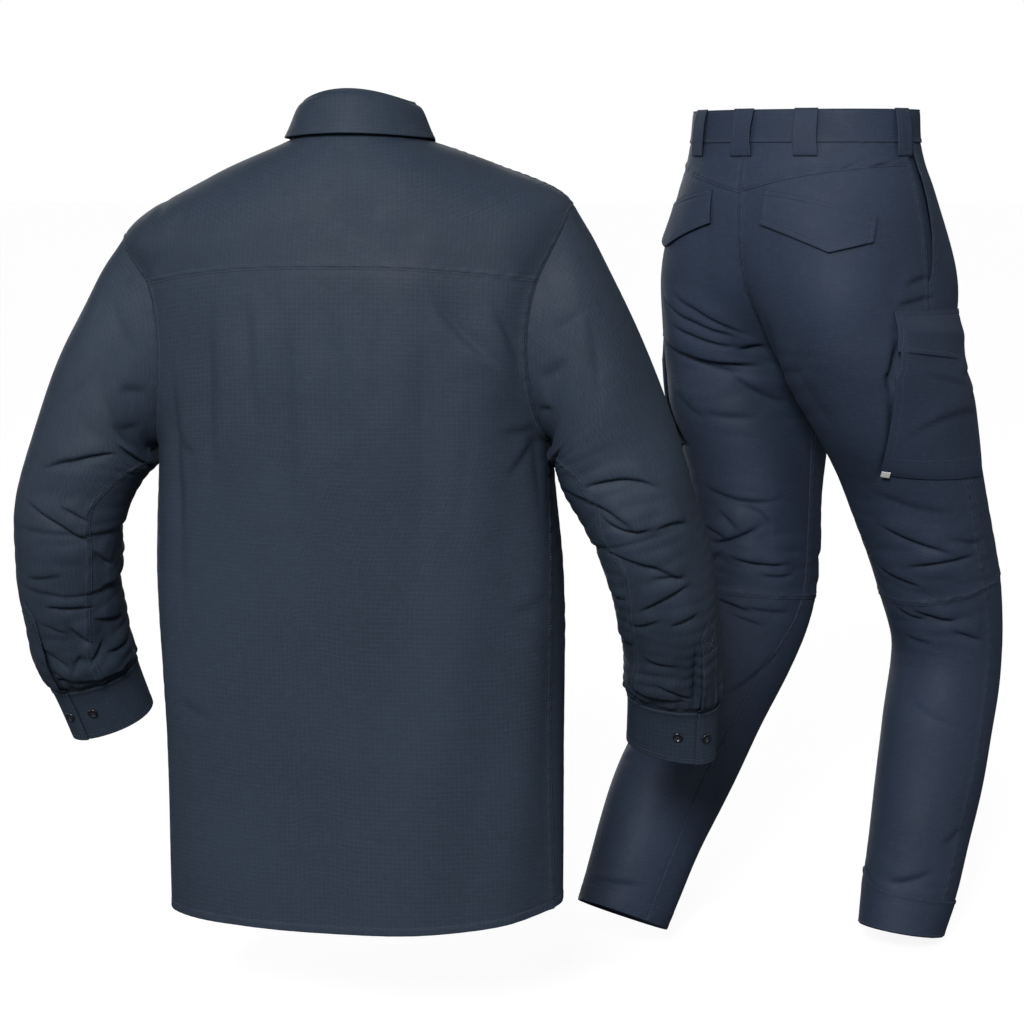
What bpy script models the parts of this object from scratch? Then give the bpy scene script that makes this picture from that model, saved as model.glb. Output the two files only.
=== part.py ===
"""Work uniform: a long-sleeved work shirt and a pair of cargo trousers, both filled out as worn.

Metres, +Z up.  The origin is the middle of the shirt's neck, between the shoulders.
+X is to the right of someone standing behind the shirt, and +Y is the way the shirt faces.
The shirt is turned a little and the trousers a lot about +Z, and the trousers stand beside the shirt.
Every piece is a wall of cloth on one of six surfaces: shirt body, two sleeves, collar, two legs.
"""
import math

import bpy
import numpy as np
from mathutils import Vector

# driving dimensions
WALL = 0.0012                  # thickness of one piece of cloth
SEAM_GAP = 0.00034             # clear distance between two pieces at a seam
UNDER_LAP = WALL + 0.0007      # how far in an edge lies where another laps over it
PATCH_LIFT = WALL + 0.0009     # from a panel to what lies on it, between the middles of the walls
ARMPIT_GAP = 0.0014            # more room under the arm, where sleeve and body meet at a sharp angle
SHIRT_TURN = 9.0               # degrees clockwise, seen from above
TROUSER_TURN = 46.0
TROUSER_PLACE = (0.517, 0.370)

TIP_LEVEL, PIT_LEVEL, HEM_LEVEL = 2.0, 5.0, 8.0     # shoulder tip, armpit and hem
SIDE_SEAM_SHIFT = {"right": -14.0, "left": 6.0}     # degrees that a side seam swings below the armpit
ARMHOLE_BACK, ARMHOLE_FRONT = 31.0, 27.0     # degrees that the armhole reaches round from the side
SHOULDER_SEAM_LEAN = 13.0                    # degrees that the shoulder seam lies forward at the neck
PLACKET_HALF = 0.0175
BUTTON_RADIUS, BUTTON_THICK = 0.00575, 0.0026
BUTTON_LIFT = WALL / 2 + 0.0003 + BUTTON_THICK / 2    # from a wall's middle to its button's middle
CUFF_OVERLAP = 26.0                          # degrees that a cuff's end laps over its other end

WAIST_TOP, BAND_LEVEL, CROTCH_LEVEL, LEG_HEM_LEVEL = 0.0, 1.0, 6.0, 15.0
YOKE_SIDE_LEVEL, YOKE_BACK_LEVEL = 1.40, 2.05
KNEE_LEVEL = {"right": 9.55, "left": 9.9}
SLANT_LEVEL, SLANT_TOP, SLANT_END = 3.8, 192.0, 183.0     # mouth of a hand pocket
RISE_GAP = 0.0006              # more room at the seat seam, where two walls meet in a valley
CARGO_TOP, CARGO_BOTTOM = (4.70, 4.80), (7.70, 8.20)       # levels at the back and front corners
CARGO_BACK, CARGO_FRONT = (151.0, 111.0), (228.0, 197.0)   # turns at the top and bottom corners
CARGO_SWING = 2.2              # how late the pocket swings back on its way down (1 is evenly)
CARGO_DEPTH = 0.013
LOOP_WIDTH, LOOP_SPAN = 0.026, 1.32                  # a belt loop's width, and levels that it spans

# colours (linear) and finish
CLOTHS = {
    "shirt_cloth": ((0.043, 0.057, 0.080), 0.72),
    "trouser_cloth": ((0.042, 0.055, 0.084), 0.74),
    "button_plastic": ((0.010, 0.013, 0.020), 0.28),
    "label_white": ((0.72, 0.72, 0.70), 0.80),
}

# rings of the shirt's body, from the neck over the shoulders and down to the hem
SHIRT_COLUMNS = ("level", "right_z", "left_z", "back_z", "front_z",
                 "right", "left", "back", "front", "square")
SHIRT_ROWS = (
    (0.0, -0.002, -0.003, 0.006, -0.062, 0.071, 0.070, 0.062, 0.078, 2.0),
    (1.0, -0.031, -0.042, -0.042, -0.100, 0.152, 0.160, 0.086, 0.097, 2.2),
    (2.0, -0.071, -0.102, -0.092, -0.143, 0.2300, 0.254, 0.102, 0.109, 2.4),
    (3.0, -0.160, -0.168, -0.140, -0.195, 0.222, 0.240, 0.113, 0.118, 2.5),
    (4.0, -0.235, -0.245, -0.215, -0.250, 0.213, 0.230, 0.118, 0.125, 2.55),
    (5.0, -0.318, -0.330, -0.310, -0.325, 0.205, 0.221, 0.117, 0.127, 2.6),
    (6.0, -0.480, -0.480, -0.475, -0.480, 0.2180, 0.2270, 0.108, 0.118, 2.5),
    (7.0, -0.665, -0.665, -0.665, -0.665, 0.2190, 0.2195, 0.103, 0.113, 2.4),
    (8.0, -0.825, -0.848, -0.845, -0.845, 0.2215, 0.2170, 0.106, 0.113, 2.3),
)

# rings of each sleeve below its armhole: centre, half sizes, and how far the ring's axis leans
# out from straight down and forward
SLEEVE_COLUMNS = ("along", "x", "y", "z", "across", "deep", "lean_out", "lean_forward")
RIGHT_SLEEVE_ROWS = (
    (0.050, 0.2370, 0.000, -0.226, 0.101, 0.073, 76.0, 0.0),
    (0.100, 0.2530, 0.001, -0.2680, 0.0840, 0.074, 58.0, 0.0),
    (0.165, 0.2765, 0.003, -0.3330, 0.0680, 0.070, 27.0, -2.0),
    (0.245, 0.3080, 0.008, -0.4080, 0.0600, 0.063, 19.0, 2.0),
    (0.330, 0.3260, 0.038, -0.4850, 0.0565, 0.058, 13.0, 18.0),
    (0.390, 0.3335, 0.066, -0.5400, 0.0550, 0.053, 7.0, 23.0),
    (0.442, 0.3330, 0.090, -0.5870, 0.0535, 0.048, 0.0, 22.0),
    (0.474, 0.3315, 0.101, -0.6160, 0.0510, 0.038, -6.0, 18.0),
    (0.539, 0.3280, 0.119, -0.6780, 0.0505, 0.035, -11.0, 16.0),
)
LEFT_SLEEVE_ROWS = (
    (0.050, 0.2600, 0.000, -0.244, 0.097, 0.073, 74.0, 0.0),
    (0.100, 0.2740, -0.006, -0.283, 0.0820, 0.074, 56.0, 0.0),
    (0.165, 0.2985, -0.016, -0.3390, 0.0650, 0.069, 24.0, -4.0),
    (0.230, 0.3215, -0.020, -0.4000, 0.0590, 0.062, 10.0, 2.0),
    (0.300, 0.3320, -0.003, -0.4680, 0.0570, 0.057, 2.0, 18.0),
    (0.360, 0.3350, 0.020, -0.5250, 0.0560, 0.053, -5.0, 22.0),
    (0.410, 0.3330, 0.043, -0.5720, 0.0550, 0.047, -12.0, 25.0),
    (0.442, 0.3280, 0.060, -0.6010, 0.0515, 0.038, -15.0, 24.0),
    (0.506, 0.3145, 0.085, -0.6610, 0.0495, 0.035, -19.0, 22.0),
)
CUFF_TOP = {"right": 0.474, "left": 0.442}
CUFF_BOTTOM = {"right": 0.539, "left": 0.506}
PLACKET_TURN = {"right": -42.0, "left": -50.0}       # where the cuff opens, from its outer side
CUFF_BUTTON_TURNS = {"right": (-40.0, -79.0), "left": (-50.0, -84.0)}

# largest folds of the limbs: a trough (or a ridge where the depth is negative) across a ring
FOLD_COLUMNS = ("place", "turn", "reach", "slope", "depth", "half_width")
RIGHT_SLEEVE_FOLDS = (
    (0.250, 250.0, 70.0, 0.020, 0.006, 0.013),
    (0.300, 200.0, 80.0, -0.024, 0.008, 0.014),
    (0.345, 240.0, 85.0, 0.018, 0.008, 0.013),
    (0.395, 215.0, 80.0, -0.016, 0.006, 0.012),
    (0.470, 270.0, 95.0, 0.008, 0.007, 0.011),
)
LEFT_SLEEVE_FOLDS = (
    (0.225, 230.0, 75.0, 0.020, 0.007, 0.013),
    (0.300, 260.0, 80.0, 0.022, 0.006, 0.013),
    (0.350, 215.0, 70.0, -0.018, 0.006, 0.012),
    (0.440, 270.0, 95.0, -0.006, 0.007, 0.011),
)

# rings of each half of the trousers: common down to the crotch, then one table for each leg
LEG_COLUMNS = ("level", "z", "centre", "half", "middle", "back", "front", "square", "lean_back")
SEAT_ROWS = (
    (0.0, 0.035, 0.000, 0.150, 0.000, 0.109, 0.109, 2.0, 0.0),
    (1.0, -0.012, 0.000, 0.155, 0.000, 0.114, 0.111, 2.0, 0.0),
    (2.0, -0.060, 0.018, 0.148, 0.006, 0.127, 0.116, 2.15, 0.0),
    (3.0, -0.115, 0.042, 0.133, 0.012, 0.135, 0.119, 2.3, 0.0),
    (4.0, -0.170, 0.065, 0.115, 0.016, 0.138, 0.119, 2.4, 0.0),
    (5.0, -0.225, 0.084, 0.099, 0.019, 0.132, 0.114, 2.35, 0.0),
    (6.0, -0.272, 0.094, 0.094, 0.022, 0.121, 0.107, 2.2, 0.0),
)
RIGHT_LEG_ROWS = (
    (7.0, -0.325, 0.103, 0.090, 0.044, 0.108, 0.097, 2.1, -8.0),
    (8.0, -0.400, 0.112, 0.083, 0.078, 0.089, 0.087, 2.05, -16.0),
    (9.0, -0.490, 0.118, 0.076, 0.110, 0.079, 0.080, 2.05, -17.0),
    (10.0, -0.585, 0.122, 0.070, 0.140, 0.072, 0.072, 2.05, -9.0),
    (11.0, -0.650, 0.123, 0.067, 0.144, 0.070, 0.069, 2.0, 6.0),
    (12.0, -0.730, 0.127, 0.067, 0.122, 0.071, 0.068, 2.0, 15.0),
    (13.0, -0.815, 0.131, 0.064, 0.097, 0.067, 0.065, 2.0, 16.0),
    (14.0, -0.900, 0.134, 0.057, 0.070, 0.061, 0.060, 2.0, 15.0),
    (15.0, -0.969, 0.134, 0.051, 0.050, 0.057, 0.054, 2.0, 13.0),
)
LEFT_LEG_ROWS = (
    (7.0, -0.325, 0.090, 0.089, 0.014, 0.110, 0.100, 2.1, 0.0),
    (8.0, -0.400, 0.077, 0.085, 0.014, 0.094, 0.089, 2.05, 0.0),
    (9.0, -0.490, 0.073, 0.079, 0.012, 0.083, 0.081, 2.05, 2.0),
    (10.0, -0.575, 0.074, 0.073, 0.010, 0.076, 0.076, 2.05, 8.0),
    (11.0, -0.640, 0.076, 0.069, -0.018, 0.074, 0.068, 2.0, 24.0),
    (12.0, -0.715, 0.079, 0.068, -0.074, 0.078, 0.066, 2.0, 34.0),
    (13.0, -0.790, 0.082, 0.066, -0.131, 0.079, 0.063, 2.0, 34.0),
    (14.0, -0.864, 0.084, 0.062, -0.174, 0.075, 0.059, 2.0, 30.0),
    (15.0, -0.944, 0.086, 0.055, -0.215, 0.067, 0.052, 2.0, 26.0),
)
RIGHT_LEG_FOLDS = (
    (8.95, 95.0, 75.0, 0.20, 0.006, 0.16),
    (9.40, 80.0, 80.0, -0.22, 0.008, 0.17),
    (9.85, 100.0, 80.0, 0.20, 0.008, 0.17),
    (10.35, 90.0, 75.0, -0.18, 0.006, 0.16),
)
LEFT_LEG_FOLDS = (
    (7.55, 80.0, 75.0, -0.30, 0.007, 0.18),
    (9.15, 90.0, 80.0, 0.18, 0.007, 0.16),
    (9.60, 85.0, 80.0, -0.20, 0.008, 0.17),
    (10.10, 95.0, 80.0, 0.20, 0.008, 0.17),
    (10.60, 90.0, 75.0, -0.16, 0.006, 0.16),
)
SIDES = {"right": 1.0, "left": -1.0}

# rings of the collar, as drops and half sizes at the back, sides and front
COLLAR_COLUMNS = ("row", "side_z", "back_z", "front_z", "right", "left", "back", "front")
STAND_ROWS = (
    (0.0, 0.0005, 0.0085, -0.0595, 0.0705, 0.0695, 0.0615, 0.0775),
    (1.0, 0.0323, 0.0453, -0.0300, 0.0600, 0.0580, 0.0570, 0.0688),
)
LEAF_ROWS = (
    (0.0, 0.0340, 0.0470, -0.0275, 0.0610, 0.0590, 0.0580, 0.0705),
    (1.0, 0.0285, 0.0410, -0.0350, 0.0680, 0.0650, 0.0630, 0.0760),
    (2.0, 0.0105, 0.0200, -0.0600, 0.0755, 0.0730, 0.0685, 0.0840),
    (3.0, -0.0015, 0.0035, -0.0780, 0.0805, 0.0785, 0.0725, 0.0900),
)


def between(low, high, count):
    """Count equal steps from low to high, with both ends."""
    return np.linspace(low, high, count + 1)


def blend(value, low, high):
    """0 below low, 1 above high, smooth in between."""
    f = np.clip((np.asarray(value, float) - low) / (high - low), 0.0, 1.0)
    return f * f * (3 - 2 * f)


class Rows:
    """A table with named columns, read as a smooth curve at any value of its first column."""

    def __init__(self, columns, rows):
        data = np.array(rows, float)
        self.keys = data[:, 0]
        self.values = data[:, 1:]
        self.columns = columns[1:]
        self.slopes = np.gradient(self.values, self.keys, axis=0)

    def read(self, where):
        """Every column at the given values of the first one, as a dictionary of arrays."""
        where = np.asarray(where, float)
        mixed = hermite(self.keys, self.values, self.slopes, where)
        return {name: mixed[..., i] for i, name in enumerate(self.columns)}


def hermite(keys, values, slopes, where):
    """Cubic pieces through values at keys, with the given slopes there."""
    i = np.clip(np.searchsorted(keys, where, "right") - 1, 0, len(keys) - 2)
    span = keys[i + 1] - keys[i]
    f = ((where - keys[i]) / span)[..., None]
    span = span[..., None]
    low = (2 * f**3 - 3 * f**2 + 1) * values[i] + (f**3 - 2 * f**2 + f) * span * slopes[i]
    high = (3 * f**2 - 2 * f**3) * values[i + 1] + (f**3 - f**2) * span * slopes[i + 1]
    return low + high


def turned(points, degrees, place=(0.0, 0.0)):
    """Points turned clockwise seen from above, then moved in X and Y."""
    angle = math.radians(degrees)
    x = points[..., 0] * math.cos(angle) + points[..., 1] * math.sin(angle) + place[0]
    y = points[..., 1] * math.cos(angle) - points[..., 0] * math.sin(angle) + place[1]
    return np.stack([x, y, points[..., 2]], -1)


def power(value, square):
    """A sine or cosine bent towards the corners of a rounded box (square 2 is an ellipse)."""
    return np.sign(value) * np.abs(value) ** (2.0 / square)


def fold_depth(folds, turn, place):
    """How far the folds push a limb in at a turn round it and a place along it."""
    depth = np.zeros(np.broadcast(turn, place).shape)
    for row in folds:
        fold = dict(zip(FOLD_COLUMNS, row))
        away = (np.asarray(turn) - fold["turn"] + 180.0) % 360.0 - 180.0
        line = fold["place"] + fold["slope"] * away / 90.0
        window = np.cos(np.clip(away / fold["reach"], -1.0, 1.0) * math.pi / 2) ** 2
        depth = depth + fold["depth"] * window * np.exp(-((place - line) / fold["half_width"]) ** 2)
    return depth


SHIRT = Rows(SHIRT_COLUMNS, SHIRT_ROWS)
STAND = Rows(COLLAR_COLUMNS, STAND_ROWS)
LEAF = Rows(COLLAR_COLUMNS, LEAF_ROWS)
LEGS = {
    "right": Rows(LEG_COLUMNS, SEAT_ROWS + RIGHT_LEG_ROWS),
    "left": Rows(LEG_COLUMNS, SEAT_ROWS + LEFT_LEG_ROWS),
}
SLEEVE_ROWS = {"right": RIGHT_SLEEVE_ROWS, "left": LEFT_SLEEVE_ROWS}
SLEEVE_FOLDS = {"right": RIGHT_SLEEVE_FOLDS, "left": LEFT_SLEEVE_FOLDS}
LEG_FOLDS = {"right": RIGHT_LEG_FOLDS, "left": LEFT_LEG_FOLDS}


# ---------------------------------------------------------------- surfaces
def ring_point(ring, angle):
    """Rounded box ring: 0 degrees at the middle of the back, 90 at the right side, 180 in front."""
    side = np.sin(np.radians(angle))
    face = np.cos(np.radians(angle))
    square = ring.get("square", 2.0)
    x = np.where(side > 0, ring["right"], ring["left"]) * power(side, square)
    y = -np.where(face > 0, ring["back"], ring["front"]) * power(face, square)
    side_z = ring["side_z"] if "side_z" in ring else (
        ring["right_z"] * (1 + side) / 2 + ring["left_z"] * (1 - side) / 2)
    middle_z = np.where(face > 0, ring["back_z"], ring["front_z"])
    z = side_z + (middle_z - side_z) * face**2
    return np.stack(np.broadcast_arrays(x, y, z), -1)


def shirt_point(angle, level):
    """The shirt's body, by the angle round it and the level down it."""
    return turned(ring_point(SHIRT.read(level), angle), SHIRT_TURN)


def armhole(side, turn):
    """Angle and level of the armhole: turn 0 at the shoulder tip, 90 in front, 180 in the armpit."""
    swing = np.sin(np.radians(turn))
    reach = np.where(swing > 0, ARMHOLE_FRONT, -ARMHOLE_BACK) * np.abs(swing)
    level = TIP_LEVEL + (PIT_LEVEL - TIP_LEVEL) * (1 - np.cos(np.radians(turn))) / 2
    return SIDES[side] * (90.0 + reach), level


def sleeve_rings(side, turn):
    """Each sleeve ring's point at a turn: 0 outside, 90 in front, 180 inside, 270 behind."""
    sign = SIDES[side]
    angle, level = armhole(side, turn)
    rings = [ring_point(SHIRT.read(level), angle)]
    for row in SLEEVE_ROWS[side]:
        ring = dict(zip(SLEEVE_COLUMNS, row))
        out = math.radians(ring["lean_out"])
        forward = math.radians(ring["lean_forward"])
        centre = np.array([sign * ring["x"], ring["y"], ring["z"]])
        outward = np.array([sign * math.cos(out), 0.0, math.sin(out)])
        along = np.array([sign * math.sin(out) * math.cos(forward), math.sin(forward),
                          -math.cos(out) * math.cos(forward)])
        front = np.cross(outward, along) * sign
        across = ring["across"] * power(np.cos(np.radians(turn)), 2.2)[..., None]
        deep = ring["deep"] * power(np.sin(np.radians(turn)), 2.2)[..., None]
        rings.append(centre + across * outward + deep * front)
    return np.stack(rings)


def sleeve_point(side):
    """A sleeve and its cuff, by the turn round the arm and the way along it in metres."""
    keys = np.array([0.0] + [row[0] for row in SLEEVE_ROWS[side]])

    def point(turn, along):
        turn, along = np.broadcast_arrays(np.asarray(turn, float), np.asarray(along, float))
        rings = sleeve_rings(side, turn.ravel())
        slopes = np.gradient(rings, keys, axis=0)
        i = np.clip(np.searchsorted(keys, along.ravel(), "right") - 1, 0, len(keys) - 2)
        j = np.arange(turn.size)
        span = (keys[i + 1] - keys[i])[:, None]
        f = ((along.ravel() - keys[i]) / span[:, 0])[:, None]
        low = (2 * f**3 - 3 * f**2 + 1) * rings[i, j] + (f**3 - 2 * f**2 + f) * span * slopes[i, j]
        high = (3 * f**2 - 2 * f**3) * rings[i + 1, j] + (f**3 - f**2) * span * slopes[i + 1, j]
        return turned((low + high).reshape(turn.shape + (3,)), SHIRT_TURN)
    return point


def leg_point(side):
    """One half of the trousers: 0 at the back seam or inseam, 180 at the side seam, 360 in front."""
    def point(turn, level):
        turn, level = np.broadcast_arrays(np.asarray(turn, float), np.asarray(level, float))
        ring = LEGS[side].read(level)
        reach = np.clip(ring["centre"] / ring["half"], 0.0, 1.0)
        start = np.degrees(np.arccos(np.clip(reach ** (ring["square"] / 2), 0.0, 1.0)))
        start = np.where(level >= CROTCH_LEVEL, 0.0, start)
        angle = np.radians(start + (360.0 - 2 * start) * turn / 360.0)
        x = ring["centre"] - ring["half"] * power(np.cos(angle), ring["square"])
        x = np.maximum(x, SEAM_GAP / 2 + RISE_GAP * blend(level, BAND_LEVEL, 5.0))
        depth = np.where(np.sin(angle) > 0, ring["back"], ring["front"])
        y = -depth * power(np.sin(angle), ring["square"])
        lean = np.radians(ring["lean_back"])
        points = np.stack([SIDES[side] * x, ring["middle"] + y * np.cos(lean),
                           ring["z"] - y * np.sin(lean)], -1)
        return turned(points, TROUSER_TURN, TROUSER_PLACE)
    return point


def waist_point(angle, level):
    """Both halves as one: 0 degrees at the middle of the back, 90 at the right side seam."""
    angle, level = np.broadcast_arrays(np.asarray(angle, float), np.asarray(level, float))
    angle = (angle + 180.0) % 360.0 - 180.0
    halves = {side: leg_point(side)(2.0 * np.abs(angle), level) for side in SIDES}
    return np.where((angle > 0)[..., None], halves["right"], halves["left"])


def collar_point(rows):
    """A collar piece, by the angle round the neck and the row from one long edge to the other."""
    def point(angle, row):
        return turned(ring_point(rows.read(row), angle), SHIRT_TURN)
    return point


class Surface:
    """A surface of cloth: its points, which way round its first parameter runs, and its folds."""

    def __init__(self, point, hand, small, folds=()):
        self.point = point
        self.hand = hand
        self.small = small
        self.folds = folds

    def normals(self, across, down):
        """Outward unit normals, from small steps both ways along the surface."""
        side = self.point(across + self.small[0], down) - self.point(across - self.small[0], down)
        low = self.point(across, down + self.small[1]) - self.point(across, down - self.small[1])
        out = np.cross(low, side) * self.hand
        return out / np.maximum(np.linalg.norm(out, axis=-1, keepdims=True), 1e-12)

    def points(self, across, down, out=0.0):
        """Points of the folded surface, moved out along its normals."""
        across, down = np.broadcast_arrays(np.asarray(across, float), np.asarray(down, float))
        lift = np.broadcast_to(out, across.shape) - fold_depth(self.folds, across, down)
        return self.point(across, down) + lift[..., None] * self.normals(across, down)


SHIRT_SURFACE = Surface(shirt_point, 1.0, (0.5, 0.01))
STAND_SURFACE = Surface(collar_point(STAND), -1.0, (0.5, 0.01))
LEAF_SURFACE = Surface(collar_point(LEAF), 1.0, (0.5, 0.01))
WAIST_SURFACE = Surface(waist_point, 1.0, (0.5, 0.01))
SLEEVES = {s: Surface(sleeve_point(s), SIDES[s], (0.5, 0.001), SLEEVE_FOLDS[s]) for s in SIDES}
PLAIN_SLEEVES = {s: Surface(sleeve_point(s), SIDES[s], (0.5, 0.001)) for s in SIDES}
LEG_SURFACES = {s: Surface(leg_point(s), SIDES[s], (0.5, 0.01), LEG_FOLDS[s]) for s in SIDES}
PLAIN_LEGS = {s: Surface(leg_point(s), SIDES[s], (0.5, 0.01)) for s in SIDES}


# ---------------------------------------------------------------- objects
def material(name):
    """One Principled material for each kind of cloth or plastic."""
    if name in bpy.data.materials:
        return bpy.data.materials[name]
    colour, roughness = CLOTHS[name]
    finish = bpy.data.materials.new(name)
    finish.use_nodes = True
    shader = finish.node_tree.nodes["Principled BSDF"]
    shader.inputs["Base Color"].default_value = (*colour, 1.0)
    shader.inputs["Roughness"].default_value = roughness
    shader.inputs["Metallic"].default_value = 0.0
    return finish


def drawn_in(points, top, bottom, start, end):
    """A grid whose four edges are drawn in towards their neighbours by the given distances."""
    moved = points.copy()
    for edge, inner, gap in ((0, 1, top), (-1, -2, bottom)):
        way = points[inner] - points[edge]
        length = np.linalg.norm(way, axis=-1, keepdims=True)
        moved[edge] += way / length * np.broadcast_to(gap, way.shape[:1])[:, None]
    for edge, inner, gap in ((0, 1, start), (-1, -2, end)):
        way = moved[:, inner] - moved[:, edge]
        length = np.linalg.norm(way, axis=-1, keepdims=True)
        moved[:, edge] += way / length * gap
    return moved


def sheet(name, points, hand, cloth, offset=0.0, closed=False):
    """A grid of points (rows down, columns across) as an open sheet with its wall."""
    rows, columns = points.shape[:2]
    index = np.arange(rows * columns).reshape(rows, columns)
    if closed:
        index = np.concatenate([index, index[:, :1]], axis=1)
    faces = np.stack([index[:-1, :-1], index[1:, :-1], index[1:, 1:], index[:-1, 1:]], -1)
    faces = faces.reshape(-1, 4)
    if hand < 0:
        faces = faces[:, ::-1]
    mesh = bpy.data.meshes.new(name)
    mesh.from_pydata(points.reshape(-1, 3).tolist(), [], faces.tolist())
    mesh.shade_smooth()
    piece = bpy.data.objects.new(name, mesh)
    model.objects.link(piece)
    mesh.materials.append(material(cloth))
    wall = piece.modifiers.new("wall", "SOLIDIFY")
    wall.thickness = WALL
    wall.offset = offset
    return piece


def panel(name, surface, across, down, cloth, out=0.0, gaps=(None,) * 4, offset=0.0, closed=False):
    """A panel of a surface: its grid, drawn in at the seams, and its wall."""
    across, down = np.broadcast_arrays(across, down)
    points = surface.points(across, down, out)
    top, bottom, start, end = (SEAM_GAP / 2 if gap is None else gap for gap in gaps)
    if closed:
        start = end = 0.0
    points = drawn_in(points, top, bottom, start, end)
    return sheet(name, points, surface.hand, cloth, offset, closed)


def button(name, surface, across, down, out):
    """A button lying on a surface, out from it by the given distance to its middle."""
    across, down = np.array([float(across)]), np.array([float(down)])
    place = surface.points(across, down, out)[0]
    normal = surface.normals(across, down)[0]
    bpy.ops.mesh.primitive_cylinder_add(vertices=12, radius=BUTTON_RADIUS, depth=BUTTON_THICK)
    piece = bpy.context.object
    piece.name = name
    piece.data.name = name
    for collection in list(piece.users_collection):
        collection.objects.unlink(piece)
    model.objects.link(piece)
    piece.location = place
    piece.rotation_mode = "QUATERNION"
    piece.rotation_quaternion = Vector(normal).to_track_quat("Z", "Y")
    piece.data.materials.append(material("button_plastic"))
    return piece


# ---------------------------------------------------------------- shirt
ARM_TURNS = between(0.0, 180.0, 8)                        # down one limb of an armhole
YOKE_TURN = 67.5                                          # where the yoke seam meets the armhole


def armhole_level(turn):
    """Level on the body at a turn of the armhole."""
    return armhole("right", turn)[1]


def outer_edge(side, level, limb):
    """Angle at which a panel ends: shoulder seam, then armhole, then side seam."""
    level = np.asarray(level, float)
    seam = 90.0 + SHOULDER_SEAM_LEAN * np.clip(1.0 - level / TIP_LEVEL, 0.0, 1.0)
    way = np.clip((level - TIP_LEVEL) / (PIT_LEVEL - TIP_LEVEL), 0.0, 1.0)
    swing = SIDE_SEAM_SHIFT[side] * blend(level, PIT_LEVEL, PIT_LEVEL + 1.2)
    return seam + swing + limb * np.sin(np.arccos(1.0 - 2.0 * way))


def across_back(levels, count):
    """Angles of a back panel's columns, from its left edge to its right edge."""
    left = -outer_edge("left", levels, -ARMHOLE_BACK)
    right = outer_edge("right", levels, -ARMHOLE_BACK)
    return left + (right - left) * between(0.0, 1.0, count)


def centre_front_angle(level, x):
    """Angle of the line that runs down the front at x from its middle."""
    ring = SHIRT.read(level)
    half = np.where(x > 0, ring["right"], ring["left"])
    return 180.0 - np.sign(x) * np.degrees(np.arcsin((np.abs(x) / half) ** (ring["square"] / 2)))


def make_yoke():
    levels = np.concatenate([between(0.0, TIP_LEVEL, 4)[:-1],
                             armhole_level(ARM_TURNS[ARM_TURNS <= YOKE_TURN])])[:, None]
    panel("shirt_yoke", SHIRT_SURFACE, across_back(levels, 12), levels, "shirt_cloth")


def make_back():
    levels = np.concatenate([armhole_level(ARM_TURNS[ARM_TURNS >= YOKE_TURN])[:-1],
                             between(PIT_LEVEL, HEM_LEVEL, 6)])[:, None]
    panel("shirt_back", SHIRT_SURFACE, across_back(levels, 12), levels, "shirt_cloth")


def front_levels():
    """Levels of the front panels' rows, which share the armhole's points with the sleeves."""
    return np.concatenate([between(0.0, TIP_LEVEL, 4)[:-1], armhole_level(ARM_TURNS)[:-1],
                           between(PIT_LEVEL, HEM_LEVEL, 6)])[:, None]


def make_fronts():
    """The left front ends at the placket; the right one steps in and runs on under it."""
    levels = front_levels()
    outer = outer_edge("left", levels, ARMHOLE_FRONT)
    inner = 360.0 - centre_front_angle(levels, -PLACKET_HALF)
    across = -(outer + (inner - outer) * between(1.0, 0.0, 6))
    panel("shirt_front_left", SHIRT_SURFACE, across, levels, "shirt_cloth")
    outer = outer_edge("right", levels, ARMHOLE_FRONT)
    free = centre_front_angle(levels, PLACKET_HALF + 0.017)
    columns = [outer + (free - outer) * between(0.0, 1.0, 5)]
    for x in (PLACKET_HALF + 0.003, -0.012):
        columns.append(centre_front_angle(levels, x))
    out = np.array([[0.0] * 6 + [-UNDER_LAP] * 2]) + 0.0 * levels
    panel("shirt_front_right", SHIRT_SURFACE, np.concatenate(columns, axis=1), levels,
          "shirt_cloth", out)


def make_placket():
    levels = front_levels()
    columns = [centre_front_angle(levels, x) for x in (PLACKET_HALF, 0.0001, -PLACKET_HALF)]
    panel("shirt_placket", SHIRT_SURFACE, np.concatenate(columns, axis=1), levels, "shirt_cloth")
    for i, z in enumerate(between(-0.125, -0.755, 6)):
        level = np.interp(-z, -SHIRT.values[:, 3], SHIRT.keys)
        button(f"front_button_{i + 2}", SHIRT_SURFACE, 180.0, level, BUTTON_LIFT)


def make_collar():
    across = np.concatenate([between(-187.0, 163.0, 22), [172.0, 188.0]])[None, :]
    rows = between(0.0, 1.0, 2)[:, None]
    out = np.where(across > 170.0, -UNDER_LAP, 0.0) + 0.0 * rows
    panel("collar_stand", STAND_SURFACE, across, rows, "shirt_cloth", out)
    rows = between(0.0, 3.0, 3)[:, None]
    across = (173.0 - 5.0 * rows) * between(-1.0, 1.0, 24)
    panel("collar_leaf", LEAF_SURFACE, across, rows, "shirt_cloth")
    button("front_button_1", STAND_SURFACE, 180.0, 0.45, BUTTON_LIFT)


def sleeve_lengths(side):
    """How far along the arm each row of a sleeve lies."""
    return np.concatenate([between(0.0, 0.165, 4)[:-1], between(0.165, CUFF_TOP[side], 10)])


def make_sleeve(side):
    surface = SLEEVES[side]
    turns = between(0.0, 360.0, 16)[:-1][None, :]
    along = sleeve_lengths(side)[:, None]
    gap = SEAM_GAP / 2 + ARMPIT_GAP * (1 - np.cos(np.radians(turns[0]))) / 2
    panel(f"sleeve_{side}", surface, turns, along, "shirt_cloth",
          gaps=(gap, None, None, None), closed=True)


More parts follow.
